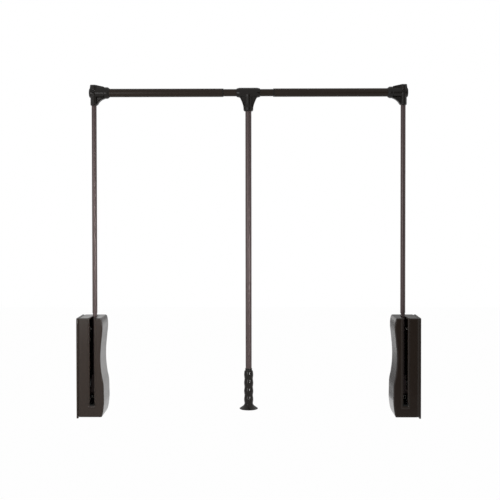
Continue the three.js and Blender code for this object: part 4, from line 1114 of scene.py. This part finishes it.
springs = coil_spring_form()
for side in ("left", "right"):
    low, high = extent(f"{side}_lift_spring")
    x, y = (low[0] + high[0]) / 2, (low[1] + high[1]) / 2
    spring = springs.make(
        f"{side}_coil_spring", Length=high[2] - low[2], Centre_X=x, Centre_Y=y, Bottom=low[2])
    dress(spring, None, "spring_steel", f"{side}_lift_spring")
    start, end = scaled([(x, y, low[2]), (x, y, high[2])])
    tuple(start)
    tuple(end)
    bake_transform(spring)

rod_foot = extent("pull_rod")[0][2]
grip_low, grip_high = extent("hand_grip")
grip = grip_form().make(
    "ribbed_grip", Length=grip_high[2] - grip_low[2], Foot_Radius=(grip_high[0] - grip_low[0]) / 2,
    Bore=ROD_RADIUS + CLEARANCE, Bore_Depth=grip_high[2] - rod_foot + CLEARANCE,
    Top=grip_high[2], Centre_X=MIDDLE)
dress(grip, "pull_rod", "connector_plastic", "hand_grip")

FACING = {
    "+X": (0, math.pi / 2, 0), "-X": (0, -math.pi / 2, 0),
    "+Y": (-math.pi / 2, 0, 0), "-Y": (math.pi / 2, 0, 0)}
screws = screw_form()


def screw_set(name, body, places, plating="zinc_steel"):
    """Screws of one body. places pairs each one's CAD node with the way that its head faces."""
    seats, turns, sizes, lengths = [], [], [], []
    for node, facing in places:
        low, high = extent(node)
        axis = "XYZ".index(facing[1])
        size = (high[2] - low[2]) / 2 / HEAD_RADIUS
        head = HEAD_HEIGHT * size
        middle = [(a + b) / 2 for a, b in zip(low, high)]
        middle[axis] = high[axis] - head if facing[0] == "+" else low[axis] + head
        seats.append(middle)
        turns += FACING[facing]
        sizes.append(size)
        lengths.append((high[axis] - low[axis] - head) * MILLIMETRE)
    mesh = bpy.data.meshes.new(name)
    mesh.from_pydata(scaled(seats), [], [])
    mesh.attributes.new("turn", "FLOAT_VECTOR", "POINT").data.foreach_set("vector", turns)
    for label, values in (("size", sizes), ("length", lengths)):
        mesh.attributes.new(label, "FLOAT", "POINT").data.foreach_set("value", values)
    piece = screws.make(name, mesh)
    dress(piece, body, "zinc_steel", *(node for node, _ in places))
    piece.data.materials[0] = finishes[plating]


for side, room in (("left", "+X"), ("right", "-X")):
    screw_set(f"{side}_housing_screws", f"{side}_housing", [
        (f"{side}_{name}", room)
        for name in ("bracket_screw_upper", "bracket_screw_lower", "spring_seat_screw")])
    screw_set(f"{side}_frame_screws", f"{side}_frame", [
        (f"{side}_arm_screw", "+Y"), (f"{side}_elbow_rail_screw", "-Y"),
        (f"{side}_elbow_arm_screw", "+Y")], "black_zinc")
screw_set("rod_screws", "pull_rod", [
    (f"{name}_screw", "+Y") for name in ("tee", "pull_rod", "grip")], "black_zinc")


# ---- CAD nodes that stay, and softened copies of the rubber parts ----

def softened(node, name, body):
    """A copy of a rubber buffer with its edges rounded."""
    mesh = frame["nodes"][node].data.copy()
    welded(mesh, 2 * SMALLEST, flat_angle=1)
    obj = linked(name, mesh)
    bevel = obj.modifiers.new("edges", "BEVEL")
    bevel.width = 0.5 * MILLIMETRE
    bevel.segments = 3
    bevel.angle_limit = math.radians(35)
    plain_mesh(obj)
    shaded(obj.data, 50)
    dress(obj, body, "rubber", node)


for side in ("left", "right"):
    softened(f"{side}_stop_buffer", f"{side}_lower_bumper", f"{side}_housing")
    softened(f"{side}_rest_buffer", f"{side}_upper_bumper", f"{side}_housing")

for entry in frame["record"]["subparts"]:
    mesh = frame["nodes"][entry["node"]].data
    mesh.materials.clear()
    painted = entry["node"].endswith("lift_lever")
    mesh.materials.append(finishes["arm_paint" if painted else entry["material_slot"]])


# ---- Studio, in metres ----

WHITE = (1, 1, 1, 1)


def lamp(name, place, target, size, power, spread=180):
    """A square soft lamp that faces a target and isn't seen itself."""
    data = bpy.data.lights.new(name, "AREA")
    data.shape = "SQUARE"
    data.size = size
    data.energy = power
    data.spread = math.radians(spread)
    obj = linked(name, data)
    obj.location = place
    obj.rotation_euler = (Vector(target) - Vector(place)).to_track_quat("-Z", "Y").to_euler()
    obj.visible_camera = False


def flag(name, x_low, x_high, y, z_low, z_high, grey, fade=0.4):
    """A grey card seen only in reflections: it keeps the object's far side and tops darker.

    It thins out over the width of fade, half of it outside the sizes given."""
    x_low, x_high = x_low - fade / 2, x_high + fade / 2
    z_low, z_high = z_low - fade / 2, z_high + fade / 2
    card = bpy.data.meshes.new(name)
    card.from_pydata([
        (x_low, y, z_low), (x_high, y, z_low), (x_high, y, z_high), (x_low, y, z_high)],
        [], [(0, 1, 2, 3)])
    material = bpy.data.materials.new(name)
    plan = Plan(emptied(material))
    place = plan.add("ShaderNodeTexCoord", output="Object")
    across, up = (plan.add("ShaderNodeSeparateXYZ", {0: place}, output=axis) for axis in "XZ")
    cover = None
    for inside in (across - x_low, x_high - across, up - z_low, z_high - up):
        ramp = (inside / fade).clamped()
        cover = cover * ramp if cover else ramp
    clear = plan.add("ShaderNodeBsdfTransparent")
    glow = plan.add("ShaderNodeEmission", {"Color": WHITE, "Strength": grey})
    plan.end(plan.add("ShaderNodeMixShader", {0: cover, 1: clear, 2: glow}))
    card.materials.append(material)
    obj = linked(name, card)
    for ray in ("camera", "diffuse", "transmission", "shadow"):
        setattr(obj, f"visible_{ray}", False)
    obj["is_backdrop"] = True


def seen_by(plan, *rays):
    """1 for the named kinds of ray and 0 for every other."""
    seen, *others = (plan.add("ShaderNodeLightPath", output=f"Is {ray} Ray") for ray in rays)
    for other in others:
        seen = seen.reckon("MAXIMUM", other)
    return seen


def studio():
    scene = bpy.context.scene
    scene.view_settings.view_transform = "Standard"
    scene.world = bpy.data.worlds.new("studio")
    plan = Plan(emptied(scene.world))
    fill, white = (
        plan.add("ShaderNodeBackground", {"Color": WHITE, "Strength": value})
        for value in (0.35, 1.0))
    seen = seen_by(plan, "Camera", "Glossy", "Transmission")
    plan.end(
        plan.add("ShaderNodeMixShader", {0: seen, 1: fill, 2: white}), "ShaderNodeOutputWorld")

    left, right, far, low, high = -9000, 9900, 9000, -760, -750     # millimetres
    floor = mesh_object("studio_floor", *extruded(
        [(left, low), (right, low), (right, high), (left, high)], -far, far))
    material = bpy.data.materials.new("studio_paper")
    paper = Plan(emptied(material))
    matt = paper.add("ShaderNodeBsdfDiffuse", {"Color": (0.85, 0.85, 0.85, 1)})
    glow = paper.add("ShaderNodeEmission", {"Color": WHITE, "Strength": 1.0})
    share = seen_by(paper, "Camera", "Glossy") * 0.985
    paper.end(paper.add("ShaderNodeMixShader", {0: share, 1: matt, 2: glow}))
    floor.data.materials.append(material)
    floor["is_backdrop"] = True

    flag("low_front_flag", 0.8, 2.8, -2.95, -1.0, 0.45, 0.08)
    flag("high_front_flag", 1.22, 3.2, -2.9, 0.45, 1.5, 0.08)
    flag("high_left_flag", -2.4, 0.45, 3.2, 0.05, 1.6, 0.74)
    flag("high_right_flag", 0.45, 3.3, 3.25, 0.0, 1.6, 0.3)
    flag("low_back_flag", -2.2, 0.44, 3.6, -1.0, 0.0, 0.2, fade=0.2)

    lamp("key_softbox", (-0.7, -2.1, 0.45), (0.15, 0.0, 0.35), 0.9, 14.0)
    lamp("strip_softbox", (1.6, -2.3, 0.22), (0.1, 0.0, 0.2), 0.2, 1.05, spread=28)


def camera():
    """The photo's camera, fitted to the object's edges."""
    data = bpy.data.cameras.new("camera")
    focal_pixels, photo_pixels = 978.4, 500
    data.sensor_width = 36.0
    data.lens = data.sensor_width * focal_pixels / photo_pixels
    data.shift_y = -0.06
    obj = linked("camera", data)
    obj.location = (0.47517, -2.56946, 0.49993)
    obj.rotation_mode = "QUATERNION"
    pitch, yaw, roll = -0.0189, -0.0102, 0.0012
    forward = Vector((
        math.sin(yaw) * math.cos(pitch), math.cos(yaw) * math.cos(pitch), math.sin(pitch)))
    turn = Matrix.Rotation(roll, 4, forward)
    obj.rotation_quaternion = turn.to_quaternion() @ forward.to_track_quat("-Z", "Y")
    bpy.context.scene.camera = obj


studio()
camera()

low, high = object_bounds()
({
    "cad": [list(cad_low), list(cad_high)], "visual": [list(low), list(high)]})
